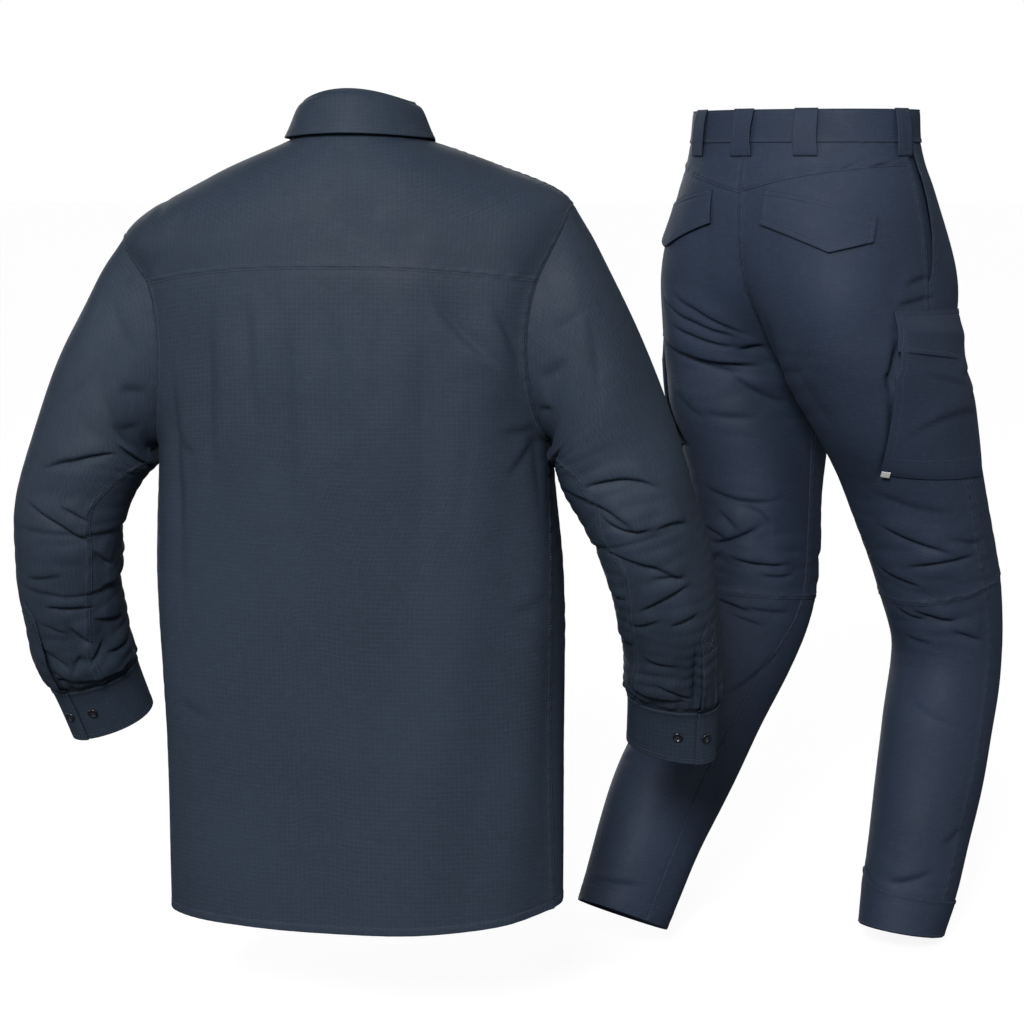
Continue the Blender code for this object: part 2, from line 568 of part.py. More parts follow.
def make_cuff(side):
    """A cuff whose over end laps its under end at the opening, and the placket above it."""
    surface = PLAIN_SLEEVES[side]
    opening = PLACKET_TURN[side]
    under = opening + CUFF_OVERLAP / 2
    over = opening - CUFF_OVERLAP / 2
    turns = np.concatenate([between(over, under + 4.0, 2), between(under + 22.0, under + 360.0, 16)])
    out = UNDER_LAP * (1.0 - blend(turns, under + 4.0, under + 40.0))
    along = between(CUFF_TOP[side], CUFF_BOTTOM[side], 2)[:, None]
    panel(f"cuff_{side}", surface, turns[None, :], along, "shirt_cloth", out[None, :] + 0.0 * along)
    for i, (turn, lift) in enumerate(zip(CUFF_BUTTON_TURNS[side], (UNDER_LAP, 0.0))):
        middle = (CUFF_TOP[side] + CUFF_BOTTOM[side]) / 2
        button(f"cuff_button_{side}_{i + 1}", surface, turn, middle, BUTTON_LIFT + lift + 0.0002)
    rows = sleeve_lengths(side)[-5:, None]
    rows = np.concatenate([rows[:1] - 0.012, rows])
    half = np.array([1.5, 14.0, 14.0, 14.0, 14.0, 14.0])[:, None]
    panel(f"sleeve_placket_{side}", surface, opening + half * between(-1.0, 1.0, 2), rows,
          "shirt_cloth", out=PATCH_LIFT)


# ---------------------------------------------------------------- trousers
BACK_TURNS = between(0.0, 180.0, 7)[None, :]
FRONT_TURNS = between(180.0, 360.0, 7)[None, :]


def yoke_level(turn):
    """Level of the seat yoke's lower seam: a V at the back seam, highest at the side."""
    return YOKE_SIDE_LEVEL + (YOKE_BACK_LEVEL - YOKE_SIDE_LEVEL) * (1.0 - turn / 180.0) ** 2.2


def slant_turn(level):
    """Turn at which the front panel starts: the hand pocket's mouth, then the side seam."""
    slant = SLANT_TOP + (SLANT_END - SLANT_TOP) * (level - BAND_LEVEL) / (SLANT_LEVEL - BAND_LEVEL)
    return np.where(level <= SLANT_LEVEL, slant, 180.0)


def make_leg(side):
    surface = LEG_SURFACES[side]
    cloth = "trouser_cloth"
    knee = KNEE_LEVEL[side]
    down = BAND_LEVEL + (yoke_level(BACK_TURNS) - BAND_LEVEL) * between(0.0, 1.0, 2)[:, None]
    panel(f"seat_yoke_{side}", surface, BACK_TURNS, down, cloth)
    thigh = between(CROTCH_LEVEL, knee, 8)
    rows = np.concatenate([between(0.0, 1.0, 6)[:-1], thigh])[:, None]
    top = yoke_level(BACK_TURNS)
    down = np.where(rows < 1.0, top + (CROTCH_LEVEL - top) * rows, rows)
    panel(f"back_leg_{side}", surface, BACK_TURNS, down, cloth)
    shin = between(knee, LEG_HEM_LEVEL, 7)[:, None]
    panel(f"back_shin_{side}", surface, BACK_TURNS, shin, cloth)
    panel(f"front_shin_{side}", surface, FRONT_TURNS, shin, cloth)
    down = np.concatenate([between(BAND_LEVEL, SLANT_LEVEL, 3), [SLANT_LEVEL + 0.25, 5.0],
                           thigh])[:, None]
    start = slant_turn(down)
    panel(f"front_leg_{side}", surface, start + (360.0 - start) * between(0.0, 1.0, 7), down, cloth)
    down = between(BAND_LEVEL, SLANT_LEVEL + 0.2, 4)[:, None]
    mouth = slant_turn(np.minimum(down, SLANT_LEVEL))
    across = 180.0 + (mouth + 3.0 - 180.0) * between(0.0, 1.0, 2)
    panel(f"pocket_facing_{side}", surface, across, down, cloth, -UNDER_LAP - 0.0006)


def make_waistband():
    """The band's left end laps over its right end at the front, where the button is."""
    across = np.concatenate([between(-184.0, 162.0, 32), [172.0, 188.0]])[None, :]
    down = between(WAIST_TOP, BAND_LEVEL, 1)[:, None]
    out = np.where(across > 170.0, -UNDER_LAP, 0.0) + 0.0 * down
    panel("waistband", WAIST_SURFACE, across, down, "trouser_cloth", out)
    button("waist_button", WAIST_SURFACE, 180.0, 0.5, BUTTON_LIFT)


def patch(name, surface, across, down, out):
    """A piece that lies on a panel: made from the panel's points, moved out."""
    panel(name, surface, across, down, "trouser_cloth", out, gaps=(0.0,) * 4)


def make_back_flap(side):
    """A flap with a blunt point, which slopes down to the side seam."""
    way = between(0.0, 1.0, 5)[None, :]
    turns = 23.0 + 108.0 * way
    top = 1.98 + 0.55 * way**1.3
    bottom = np.interp(way, (0.0, 0.6, 1.0), (2.70, 3.28, 3.06))
    patch(f"back_flap_{side}", PLAIN_LEGS[side], turns, top + (bottom - top) * between(0, 1, 2)[:, None],
          PATCH_LIFT)


def cargo_place(way, fall):
    """Turn and level on the leg at a way across and a fall down the cargo pocket, both 0 to 1."""
    swing = np.maximum(fall, 0.0) ** CARGO_SWING
    start = CARGO_BACK[0] + (CARGO_BACK[1] - CARGO_BACK[0]) * swing
    end = CARGO_FRONT[0] + (CARGO_FRONT[1] - CARGO_FRONT[0]) * swing
    top = CARGO_TOP[0] + (CARGO_TOP[1] - CARGO_TOP[0]) * way
    bottom = CARGO_BOTTOM[0] + (CARGO_BOTTOM[1] - CARGO_BOTTOM[0]) * way
    return start + (end - start) * way, top + (bottom - top) * fall


def make_cargo(side):
    """A bellows pocket, open towards the leg, and the flap over its mouth."""
    way = np.array([0.0, 0.03, 0.2, 0.4, 0.6, 0.8, 0.97, 1.0])[None, :]
    fall = np.array([0.0, 0.03, 0.25, 0.5, 0.75, 0.97, 1.0])[:, None]
    inside = (way > 0.01) & (way < 0.99) & (fall > 0.01) & (fall < 0.99)
    turns, down = cargo_place(way, fall)
    out = PATCH_LIFT + np.where(inside, 0.003 + CARGO_DEPTH * blend(fall, 0.0, 0.8), 0.0)
    patch(f"cargo_pocket_{side}", PLAIN_LEGS[side], turns, down, out)
    way = between(-0.03, 1.03, 6)[None, :]
    fall = np.array([-0.075, -0.03, 0.10, 0.235])[:, None]
    turns, down = cargo_place(way, fall)
    out = PATCH_LIFT + np.array([0.0, 0.002, 0.0085, 0.0120])[:, None] + 0.0 * turns
    patch(f"cargo_flap_{side}", PLAIN_LEGS[side], turns, down, out)


def make_label():
    """A bare woven tag at the right cargo pocket's lower back corner."""
    turns, down = cargo_place(between(0.055, 0.12, 1)[None, :], between(0.915, 0.95, 1)[:, None])
    out = PATCH_LIFT + 0.003 + CARGO_DEPTH + 0.0012
    panel("label_tag", PLAIN_LEGS["right"], turns, down, "label_white", out, gaps=(0.0,) * 4)


def make_loops():
    """Seven belt loops, which lie nearly flat from the band's top edge to below it."""
    half = math.degrees(LOOP_WIDTH / 2 / 0.132)
    steps = np.array([0.0, 0.12, 0.5, 0.88, 1.0])[:, None]
    for i, angle in enumerate((0.0, 32.0, -32.0, 86.0, -86.0, 142.0, -142.0)):
        across = (angle + half * between(-1.0, 1.0, 2))[None, :]
        lift = PATCH_LIFT + (0.0004 if abs(angle) > 100.0 else 0.0001)
        out = lift + 0.0016 * np.sin(np.pi * steps) + 0.0 * across
        patch(f"belt_loop_{i + 1}", WAIST_SURFACE, across, LOOP_SPAN * steps, out)


def make_fly_and_hem():
    across = 360.0 - np.array([[24.0, 14.0, 3.0]])
    down = np.array([BAND_LEVEL + 0.02, 1.933, 2.867, SLANT_LEVEL, 4.05])[:, None]
    patch("fly", PLAIN_LEGS["left"], across, down, PATCH_LIFT)
    turns = between(0.0, 360.0, 14)[:-1][None, :]
    down = between(14.28, 14.98, 1)[:, None]
    panel("hem_band_right", PLAIN_LEGS["right"], turns, down, "trouser_cloth", PATCH_LIFT,
          gaps=(0.0,) * 4, closed=True)


def clear_scene():
    for old in list(bpy.data.objects):
        bpy.data.objects.remove(old, do_unlink=True)


clear_scene()
model = bpy.data.collections.new("work_uniform")
bpy.context.scene.collection.children.link(model)
make_yoke()
make_back()
make_fronts()
make_placket()
make_collar()
make_waistband()
for which in SIDES:
    make_sleeve(which)
    make_cuff(which)
    make_leg(which)
    make_back_flap(which)
    make_cargo(which)
make_label()
make_loops()
make_fly_and_hem()
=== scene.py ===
import math

import bpy
import numpy as np
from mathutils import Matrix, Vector


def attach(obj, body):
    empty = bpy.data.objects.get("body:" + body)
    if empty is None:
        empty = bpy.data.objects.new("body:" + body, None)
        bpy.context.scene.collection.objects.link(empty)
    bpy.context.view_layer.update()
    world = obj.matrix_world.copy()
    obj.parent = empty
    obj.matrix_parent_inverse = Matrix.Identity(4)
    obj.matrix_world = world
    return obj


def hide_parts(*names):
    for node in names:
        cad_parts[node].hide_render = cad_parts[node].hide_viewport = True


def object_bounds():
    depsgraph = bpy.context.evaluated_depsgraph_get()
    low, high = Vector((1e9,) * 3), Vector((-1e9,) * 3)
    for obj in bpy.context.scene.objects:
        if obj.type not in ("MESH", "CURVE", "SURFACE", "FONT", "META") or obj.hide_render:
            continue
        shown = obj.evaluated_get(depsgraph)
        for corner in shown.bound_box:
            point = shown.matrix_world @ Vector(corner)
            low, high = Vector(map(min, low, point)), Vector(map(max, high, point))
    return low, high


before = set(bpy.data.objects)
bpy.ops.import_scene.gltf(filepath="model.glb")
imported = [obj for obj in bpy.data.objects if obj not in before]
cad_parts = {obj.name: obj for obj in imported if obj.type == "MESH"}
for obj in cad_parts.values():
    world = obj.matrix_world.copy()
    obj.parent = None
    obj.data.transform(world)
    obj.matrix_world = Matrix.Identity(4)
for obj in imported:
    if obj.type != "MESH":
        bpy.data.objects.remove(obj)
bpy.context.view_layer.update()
print("frame loaded,", len(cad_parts), "nodes")

# ---- form of the garments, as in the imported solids: metres and degrees, tables in millimetres ----
shirtForm = {
    "turn": 9.0,                 # clockwise, seen from above
    "tipLevel": 2.0,             # shoulder tip
    "pitLevel": 5.0,             # armpit
    "hemLevel": 8.0,
    "sideSeamSwing": {"right": -14.0, "left": 6.0},
    "armholeBack": 31.0,
    "armholeFront": 27.0,
    "shoulderSeamLean": 13.0,
    "columns": ("level", "rightZ", "leftZ", "backZ", "frontZ",
                "right", "left", "back", "front", "square"),
    "rows": (
        (0, -2, -3, 6, -62, 71, 70, 62, 78, 2),
        (1, -31, -42, -42, -100, 152, 160, 86, 97, 2.2),
        (2, -71, -102, -92, -143, 230, 254, 102, 109, 2.4),
        (3, -160, -168, -140, -195, 222, 240, 113, 118, 2.5),
        (4, -235, -245, -215, -250, 213, 230, 118, 125, 2.55),
        (5, -318, -330, -310, -325, 205, 221, 117, 127, 2.6),
        (6, -480, -480, -475, -480, 218, 227, 108, 118, 2.5),
        (7, -665, -665, -665, -665, 219, 219.5, 103, 113, 2.4),
        (8, -825, -848, -845, -845, 221.5, 217, 106, 113, 2.3),
    ),
}
sleeveColumns = ("along", "x", "y", "z", "across", "deep", "leanOut", "leanForward")
sleeveForm = {
    "right": {
        "cuffTop": 0.474, "cuffEnd": 0.539, "opening": -42.0, "buttons": (-40.0, -79.0),
        "rows": (
            (50, 237, 0, -226, 101, 73, 76, 0),
            (100, 253, 1, -268, 84, 74, 58, 0),
            (165, 276.5, 3, -333, 68, 70, 27, -2),
            (245, 308, 8, -408, 60, 63, 19, 2),
            (330, 326, 38, -485, 56.5, 58, 13, 18),
            (390, 333.5, 66, -540, 55, 53, 7, 23),
            (442, 333, 90, -587, 53.5, 48, 0, 22),
            (474, 331.5, 101, -616, 51, 38, -6, 18),
            (539, 328, 119, -678, 50.5, 35, -11, 16),
        ),
        # where the underarm seam runs round the sleeve (along, turn)
        "seam": ((0, 180), (100, 200), (200, 238), (240, 226), (280, 236), (340, 226), (480, 224)),
    },
    "left": {
        "cuffTop": 0.442, "cuffEnd": 0.506, "opening": -50.0, "buttons": (-50.0, -84.0),
        "rows": (
            (50, 260, 0, -244, 97, 73, 74, 0),
            (100, 274, -6, -283, 82, 74, 56, 0),
            (165, 298.5, -16, -339, 65, 69, 24, -4),
            (230, 321.5, -20, -400, 59, 62, 10, 2),
            (300, 332, -3, -468, 57, 57, 2, 18),
            (360, 335, 20, -525, 56, 53, -5, 22),
            (410, 333, 43, -572, 55, 47, -12, 25),
            (442, 328, 60, -601, 51.5, 38, -15, 24),
            (506, 314.5, 85, -661, 49.5, 35, -19, 22),
        ),
        "seam": ((0, 180), (100, 196), (170, 212), (220, 232), (260, 226), (300, 228), (400, 244),
                 (460, 242)),
    },
}
collarColumns = ("row", "sideZ", "backZ", "frontZ", "right", "left", "back", "front")
collarForm = {
    "stand": (
        (0, 0.5, 8.5, -59.5, 70.5, 69.5, 61.5, 77.5),
        (1, 32.3, 45.3, -30, 60, 58, 57, 68.8),
    ),
    "leaf": (
        (0, 34, 47, -27.5, 61, 59, 58, 70.5),
        (1, 28.5, 41, -35, 68, 65, 63, 76),
        (2, 10.5, 20, -60, 75.5, 73, 68.5, 84),
        (3, -1.5, 3.5, -78, 80.5, 78.5, 72.5, 90),
    ),
    "roll": 0.0022,              # radius of the fold that rolls the leaf over the stand
}
trouserForm = {
    "turn": 46.0,
    "place": (0.517, 0.370),
    "bandLevel": 0.82,
    "crotchLevel": 6.0,
    "hemLevel": 15.0,
    "thighEdge": 0.018,
    "knee": {"right": 9.55, "left": 9.9},
    # how far round to the back the inseam lies above and below the knee
    "inseam": {"right": (0.0, 0.0), "left": (-10.0, 17.0)},
    "columns": ("level", "z", "centre", "half", "middle", "back", "front", "square", "leanBack"),
    "seat": (
        (0, 35, 0, 150, 0, 109, 109, 2, 0),
        (1, -12, 0, 155, 0, 114, 111, 2, 0),
        (2, -60, 18, 148, 6, 127, 116, 2.15, 0),
        (3, -115, 42, 133, 12, 135, 119, 2.3, 0),
        (4, -170, 65, 115, 16, 138, 119, 2.4, 0),
        (5, -225, 84, 99, 19, 132, 114, 2.35, 0),
        (6, -272, 94, 94, 22, 121, 107, 2.2, 0),
    ),
    "right": (
        (7, -325, 103, 90, 44, 108, 97, 2.1, -8),
        (8, -400, 112, 83, 78, 89, 87, 2.05, -16),
        (9, -490, 118, 76, 110, 79, 80, 2.05, -17),
        (10, -585, 122, 70, 140, 72, 72, 2.05, -9),
        (11, -650, 123, 67, 144, 70, 69, 2, 6),
        (12, -730, 127, 67, 122, 71, 68, 2, 15),
        (13, -815, 131, 64, 97, 67, 65, 2, 16),
        (14, -900, 134, 57, 70, 61, 60, 2, 15),
        (15, -969, 134, 51, 50, 57, 54, 2, 13),
    ),
    "left": (
        (7, -325, 90, 89, 14, 110, 100, 2.1, 0),
        (8, -400, 77, 85, 14, 94, 89, 2.05, 0),
        (9, -490, 73, 79, 12, 83, 81, 2.05, 2),
        (10, -575, 74, 73, 10, 76, 76, 2.05, 8),
        (11, -640, 76, 69, -18, 74, 68, 2, 24),
        (12, -715, 79, 68, -74, 78, 66, 2, 34),
        (13, -790, 82, 66, -131, 79, 63, 2, 34),
        (14, -864, 84, 62, -174, 75, 59, 2, 30),
        (15, -944, 86, 55, -215, 67, 52, 2, 26),
    ),
}
handSign = {"right": 1.0, "left": -1.0}


# ---- curves and rings ----
def ease(value, low, high):
    # 0 below low, 1 above high, 3f^2 - 2f^3 in between
    f = np.clip((np.asarray(value, float) - low) / (high - low), 0.0, 1.0)
    return f * f * (3 - 2 * f)


def cubic(f, span, low, lowSlope, high, highSlope):
    # the cubic through two values with their slopes, at a fraction f of the span between them
    below = (2 * f**3 - 3 * f**2 + 1) * low + (f**3 - 2 * f**2 + f) * span * lowSlope
    above = (3 * f**2 - 2 * f**3) * high + (f**3 - f**2) * span * highSlope
    return below + above


def between(keys, where):
    # which two keys each place lies between, how far apart they are and how far it has gone
    i = np.clip(np.searchsorted(keys, where, "right") - 1, 0, len(keys) - 2)
    span = keys[i + 1] - keys[i]
    return i, span[..., None], ((where - keys[i]) / span)[..., None]


bareColumns = ("level", "row", "square", "turn", "reachTurn", "leanOut", "leanForward", "leanBack")


def inMetres(columns, rows):
    # a table's millimetres made metres; its levels, turns and shares stay
    return np.array(rows, float) / [1.0 if name in bareColumns else 1000.0 for name in columns]


class Table:
    # a table with named columns, read as a smooth curve at any value of its first column
    def __init__(self, columns, rows):
        data = inMetres(columns, rows)
        self.keys = data[:, 0]
        self.values = data[:, 1:]
        self.columns = columns[1:]
        self.slopes = np.gradient(self.values, self.keys, axis=0)

    def read(self, where):
        i, span, f = between(self.keys, np.asarray(where, float))
        values, slopes = self.values, self.slopes
        mixed = cubic(f, span, values[i], slopes[i], values[i + 1], slopes[i + 1])
        return {name: mixed[..., i] for i, name in enumerate(self.columns)}


def turned(points, degrees, place=(0.0, 0.0)):
    # clockwise seen from above, then moved in X and Y
    angle = math.radians(degrees)
    x = points[..., 0] * math.cos(angle) + points[..., 1] * math.sin(angle) + place[0]
    y = points[..., 1] * math.cos(angle) - points[..., 0] * math.sin(angle) + place[1]
    return np.stack([x, y, points[..., 2]], -1)


def power(value, square):
    # a sine or cosine bent towards the corners of a rounded box
    return np.sign(value) * np.abs(value) ** (2.0 / square)


shirtTable = Table(shirtForm["columns"], shirtForm["rows"])
standTable = Table(collarColumns, collarForm["stand"])
leafTable = Table(collarColumns, collarForm["leaf"])
sleeveRows = {side: inMetres(sleeveColumns, sleeveForm[side]["rows"]) for side in handSign}
legTables = {side: Table(trouserForm["columns"], trouserForm["seat"] + trouserForm[side])
             for side in handSign}


def ringPoint(ring, angle):
    # rounded box ring: half size times a bent sine and cosine, and a height that dips at each face
    side = np.sin(np.radians(angle))
    face = np.cos(np.radians(angle))
    square = ring.get("square", 2.0)
    x = np.where(side > 0, ring["right"], ring["left"]) * power(side, square)
    y = -np.where(face > 0, ring["back"], ring["front"]) * power(face, square)
    if "sideZ" in ring:
        sideZ = ring["sideZ"]
    else:
        sideZ = ring["rightZ"] * (1 + side) / 2 + ring["leftZ"] * (1 - side) / 2
    faceZ = np.where(face > 0, ring["backZ"], ring["frontZ"])
    return np.stack(np.broadcast_arrays(x, y, sideZ + (faceZ - sideZ) * face**2), -1)


def shirtPoint(angle, level):
    return turned(ringPoint(shirtTable.read(level), angle), shirtForm["turn"])


def armholePlace(side, turn):
    # angle and level of the armhole: turn 0 at the shoulder tip, 90 in front, 180 in the armpit
    swing = np.sin(np.radians(turn))
    reach = np.where(swing > 0, shirtForm["armholeFront"], -shirtForm["armholeBack"])
    reach = reach * np.abs(swing)
    drop = (shirtForm["pitLevel"] - shirtForm["tipLevel"]) * (1 - np.cos(np.radians(turn))) / 2
    return handSign[side] * (90.0 + reach), shirtForm["tipLevel"] + drop


def sleeveRings(side, turn):
    # the armhole's point, then a rounded ring for each row, at right angles to its leaning axis
    sign = handSign[side]
    angle, level = armholePlace(side, turn)
    rings = [ringPoint(shirtTable.read(level), angle)]
    for row in sleeveRows[side]:
        ring = dict(zip(sleeveColumns, row))
        out = math.radians(ring["leanOut"])
        forward = math.radians(ring["leanForward"])
        centre = np.array([sign * ring["x"], ring["y"], ring["z"]])
        outward = np.array([sign * math.cos(out), 0.0, math.sin(out)])
        along = np.array([sign * math.sin(out) * math.cos(forward), math.sin(forward),
                          -math.cos(out) * math.cos(forward)])
        front = np.cross(outward, along) * sign
        across = ring["across"] * power(np.cos(np.radians(turn)), 2.2)[..., None]
        deep = ring["deep"] * power(np.sin(np.radians(turn)), 2.2)[..., None]
        rings.append(centre + across * outward + deep * front)
    return np.stack(rings)


def sleevePoint(side):
    keys = np.append(0.0, sleeveRows[side][:, 0])

    def point(turn, along):
        # the cubic through the rings' points at one turn
        turn, along = np.broadcast_arrays(np.asarray(turn, float), np.asarray(along, float))
        rings = sleeveRings(side, turn.ravel())
        slopes = np.gradient(rings, keys, axis=0)
        i, span, f = between(keys, along.ravel())
        j = np.arange(turn.size)
        points = cubic(f, span, rings[i, j], slopes[i, j], rings[i + 1, j], slopes[i + 1, j])
        return turned(points.reshape(turn.shape + (3,)), shirtForm["turn"])
    return point


def legPoint(side):
    def point(turn, level):
        # half of a rounded ring, cut off at the middle plane down to the crotch; a whole one below
        turn, level = np.broadcast_arrays(np.asarray(turn, float), np.asarray(level, float))
        ring = legTables[side].read(level)
        reach = np.clip(ring["centre"] / ring["half"], 0.0, 1.0)
        start = np.degrees(np.arccos(np.clip(reach ** (ring["square"] / 2), 0.0, 1.0)))
        start = np.where(level >= trouserForm["crotchLevel"], 0.0, start)
        angle = np.radians(start + (360.0 - 2 * start) * turn / 360.0)
        x = ring["centre"] - ring["half"] * power(np.cos(angle), ring["square"])
        # it keeps to its own side of the middle plane, with a round edge below the crotch
        edge = trouserForm["thighEdge"] * ease(level, trouserForm["crotchLevel"], 7.0)
        x = np.maximum((x + np.sqrt(x ** 2 + edge ** 2)) / 2, 0.0002)
        depth = np.where(np.sin(angle) > 0, ring["back"], ring["front"])
        y = -depth * power(np.sin(angle), ring["square"])
        lean = np.radians(ring["leanBack"])
        points = np.stack([handSign[side] * x, ring["middle"] + y * np.cos(lean),
                           ring["z"] - y * np.sin(lean)], -1)
        return turned(points, trouserForm["turn"], trouserForm["place"])
    return point


def collarPoint(table):
    # a collar ring's point, turned with the shirt
    return lambda angle, row: turned(ringPoint(table.read(row), angle), shirtForm["turn"])


def legDrop(side):
    # metres down from the top of the band
    return lambda level: legTables[side].values[0, 0] - legTables[side].read(level)["z"]


def waistPoint(angle, level):
    # both halves as one: 0 degrees at the middle of the back, 90 at the right side seam
    angle, level = np.broadcast_arrays(np.asarray(angle, float), np.asarray(level, float))
    angle = (angle + 180.0) % 360.0 - 180.0
    halves = {side: legPoint(side)(2.0 * np.abs(angle), level) for side in handSign}
    return np.where((angle > 0)[..., None], halves["right"], halves["left"])


def rolledLeaf(angle, row):
    # the collar's leaf; above its first row it rolls in over the stand on a small half circle
    angle, row = np.broadcast_arrays(np.asarray(angle, float), np.asarray(row, float))
    points = collarPoint(leafTable)(angle, np.maximum(row, 0.0))
    bend = np.clip(-row, 0.0, 1.4)[..., None] * math.pi
    inward = -points * np.array([1.0, 1.0, 0.0])
    inward /= np.linalg.norm(inward, axis=-1, keepdims=True)
    roll = collarForm["roll"]
    up = np.array([0.0, 0.0, 1.0])
    return points + inward * roll * (1 - np.cos(bend)) + up * roll * np.sin(bend)


# ---- creases, ripples and soft waves, as a height off the surface and a slide down it ----
creaseColumns = ("acrossA", "downA", "acrossB", "downB", "bow", "depth", "width", "lip")
creaseShape = {
    "sharp": 0.50,               # how narrow the trough is under its bulge, in widths
    "slope": 1.10,               # and how far it runs out on the other side
    "bulge": 0.75,               # height of the bulge, as a share of the trough's depth
    "crest": 1.15,               # how far its crest is from the trough, in widths
    "reach": (3.00, 0.85),       # how far it reaches away from the trough and towards it
    "lean": 0.50,                # how far it leans over the trough
}


def creaseRows(rows, across=1000.0, down=1000.0):
    # a crease table in metres; its two ends may be in degrees or levels instead
    return np.array(rows, float) / (across, down, across, down, 1000.0, 1000.0, 1000.0, 1.0)


def creased(across, down, rows, unit=1.0, period=None):
    # a crease is a narrow trough along a bowed line, with a soft bulge on one side that leans over
    # it and a long gentle slope on the other; s = distance past the line, and both ends taper off
    height = np.zeros(across.shape)
    slide = np.zeros(across.shape)
    for row in rows:
        crease = dict(zip(creaseColumns, row))
        away = across - (crease["acrossA"] + crease["acrossB"]) / 2
        if period:
            away = (away + period / 2) % period - period / 2
        x = away * unit
        y = down - (crease["downA"] + crease["downB"]) / 2
        runX = abs(crease["acrossB"] - crease["acrossA"]) * unit
        runY = crease["downB"] - crease["downA"]
        runY = runY * np.sign(crease["acrossB"] - crease["acrossA"] + 1e-9)
        length = math.hypot(runX, runY)
        t = (x * runX + y * runY) / length**2 + 0.5
        s = (y * runX - x * runY) / length - crease["bow"] * 4 * t * (1 - t)
        s = s * np.sign(crease["lip"])
        width = crease["width"]
        near = (np.abs(s) < 7 * width) & (t > -0.1) & (t < 1.1)
        t, s = t[near], s[near]
        fade = ease(t, -0.06, 0.34) * (1 - ease(t, 0.66, 1.06))
        width = width * (0.5 + 0.5 * fade)
        sharp = creaseShape["sharp"] * width
        trough = np.where(s < 0, np.exp(-(np.abs(s) / sharp) ** 1.5),
                          np.exp(-s / (creaseShape["slope"] * width)))
        past = s / width + creaseShape["crest"]
        reach = np.where(past < 0, *creaseShape["reach"])
        bulge = abs(crease["lip"]) * np.exp(-(past / reach) ** 2)
        lean = abs(crease["lip"]) * np.exp(-((s + 1.1 * width) / (0.9 * width)) ** 2)
        height[near] += crease["depth"] * fade * (creaseShape["bulge"] * bulge - trough)
        slide[near] += creaseShape["lean"] * crease["depth"] * fade * lean * np.sign(crease["lip"])
    return height, slide


def waves(turn, down, seed, lengths, spins, count=6):
    # sum of sines down the cloth, each turned by a whole number of spins round the limb
    draw = np.random.default_rng(seed)
    total = np.zeros(np.broadcast(turn, down).shape)
    for length, spin, phase in zip(draw.uniform(*lengths, count), draw.integers(*spins, count),
                                   draw.uniform(0, 2 * math.pi, count)):
        total += np.sin(2 * math.pi * down / length + spin * np.radians(turn) + phase)
    return total / math.sqrt(count)


zoneColumns = ("turn", "down", "reachTurn", "reachDown", "height")


def rippled(turn, down, form, side):
    # |waves| rounded at its troughs in zones that fade out like a bell, and soft waves all over
    amount = np.zeros(np.broadcast(turn, down).shape)
    for row in inMetres(zoneColumns, form["zones"][side]):
        zone = dict(zip(zoneColumns, row))
        away = (turn - zone["turn"] + 180.0) % 360.0 - 180.0
        amount += zone["height"] * np.exp(-(away / zone["reachTurn"]) ** 2
                                          - ((down - zone["down"]) / zone["reachDown"]) ** 2)
    seed = form["seeds"][side]
    bumps = np.sqrt(waves(turn, down, seed, form["lengths"], form["spins"]) ** 2 + 0.02) - 0.6
    soft = waves(turn, down, seed + 50, form["softLengths"], form["softSpins"])
    return amount * bumps + form["soft"] * soft


class Surface:
    # a surface of cloth: its points, which way round its first parameter runs, and its folds
    def __init__(self, point, hand, small, folds=None):
        self.point = point
        self.hand = hand
        self.small = small
        self.folds = folds

    def frame(self, turn, place):
        # outward normal and downward direction, from small steps both ways along the surface
        side = self.point(turn + self.small[0], place) - self.point(turn - self.small[0], place)
        low = self.point(turn, place + self.small[1]) - self.point(turn, place - self.small[1])
        out = np.cross(low, side) * self.hand
        out /= np.maximum(np.linalg.norm(out, axis=-1, keepdims=True), 1e-12)
        return out, low / np.maximum(np.linalg.norm(low, axis=-1, keepdims=True), 1e-12)

    def points(self, turn, place, out=0.0):
        # moved out along the normal, then folded: up along the normal and down along the surface
        turn, place = np.broadcast_arrays(np.asarray(turn, float), np.asarray(place, float))
        normal, low = self.frame(turn, place)
        points = self.point(turn, place) + np.asarray(out)[..., None] * normal
        if self.folds:
            height, slide = self.folds(turn, place)
            points = points + height[..., None] * normal + slide[..., None] * low
        return points


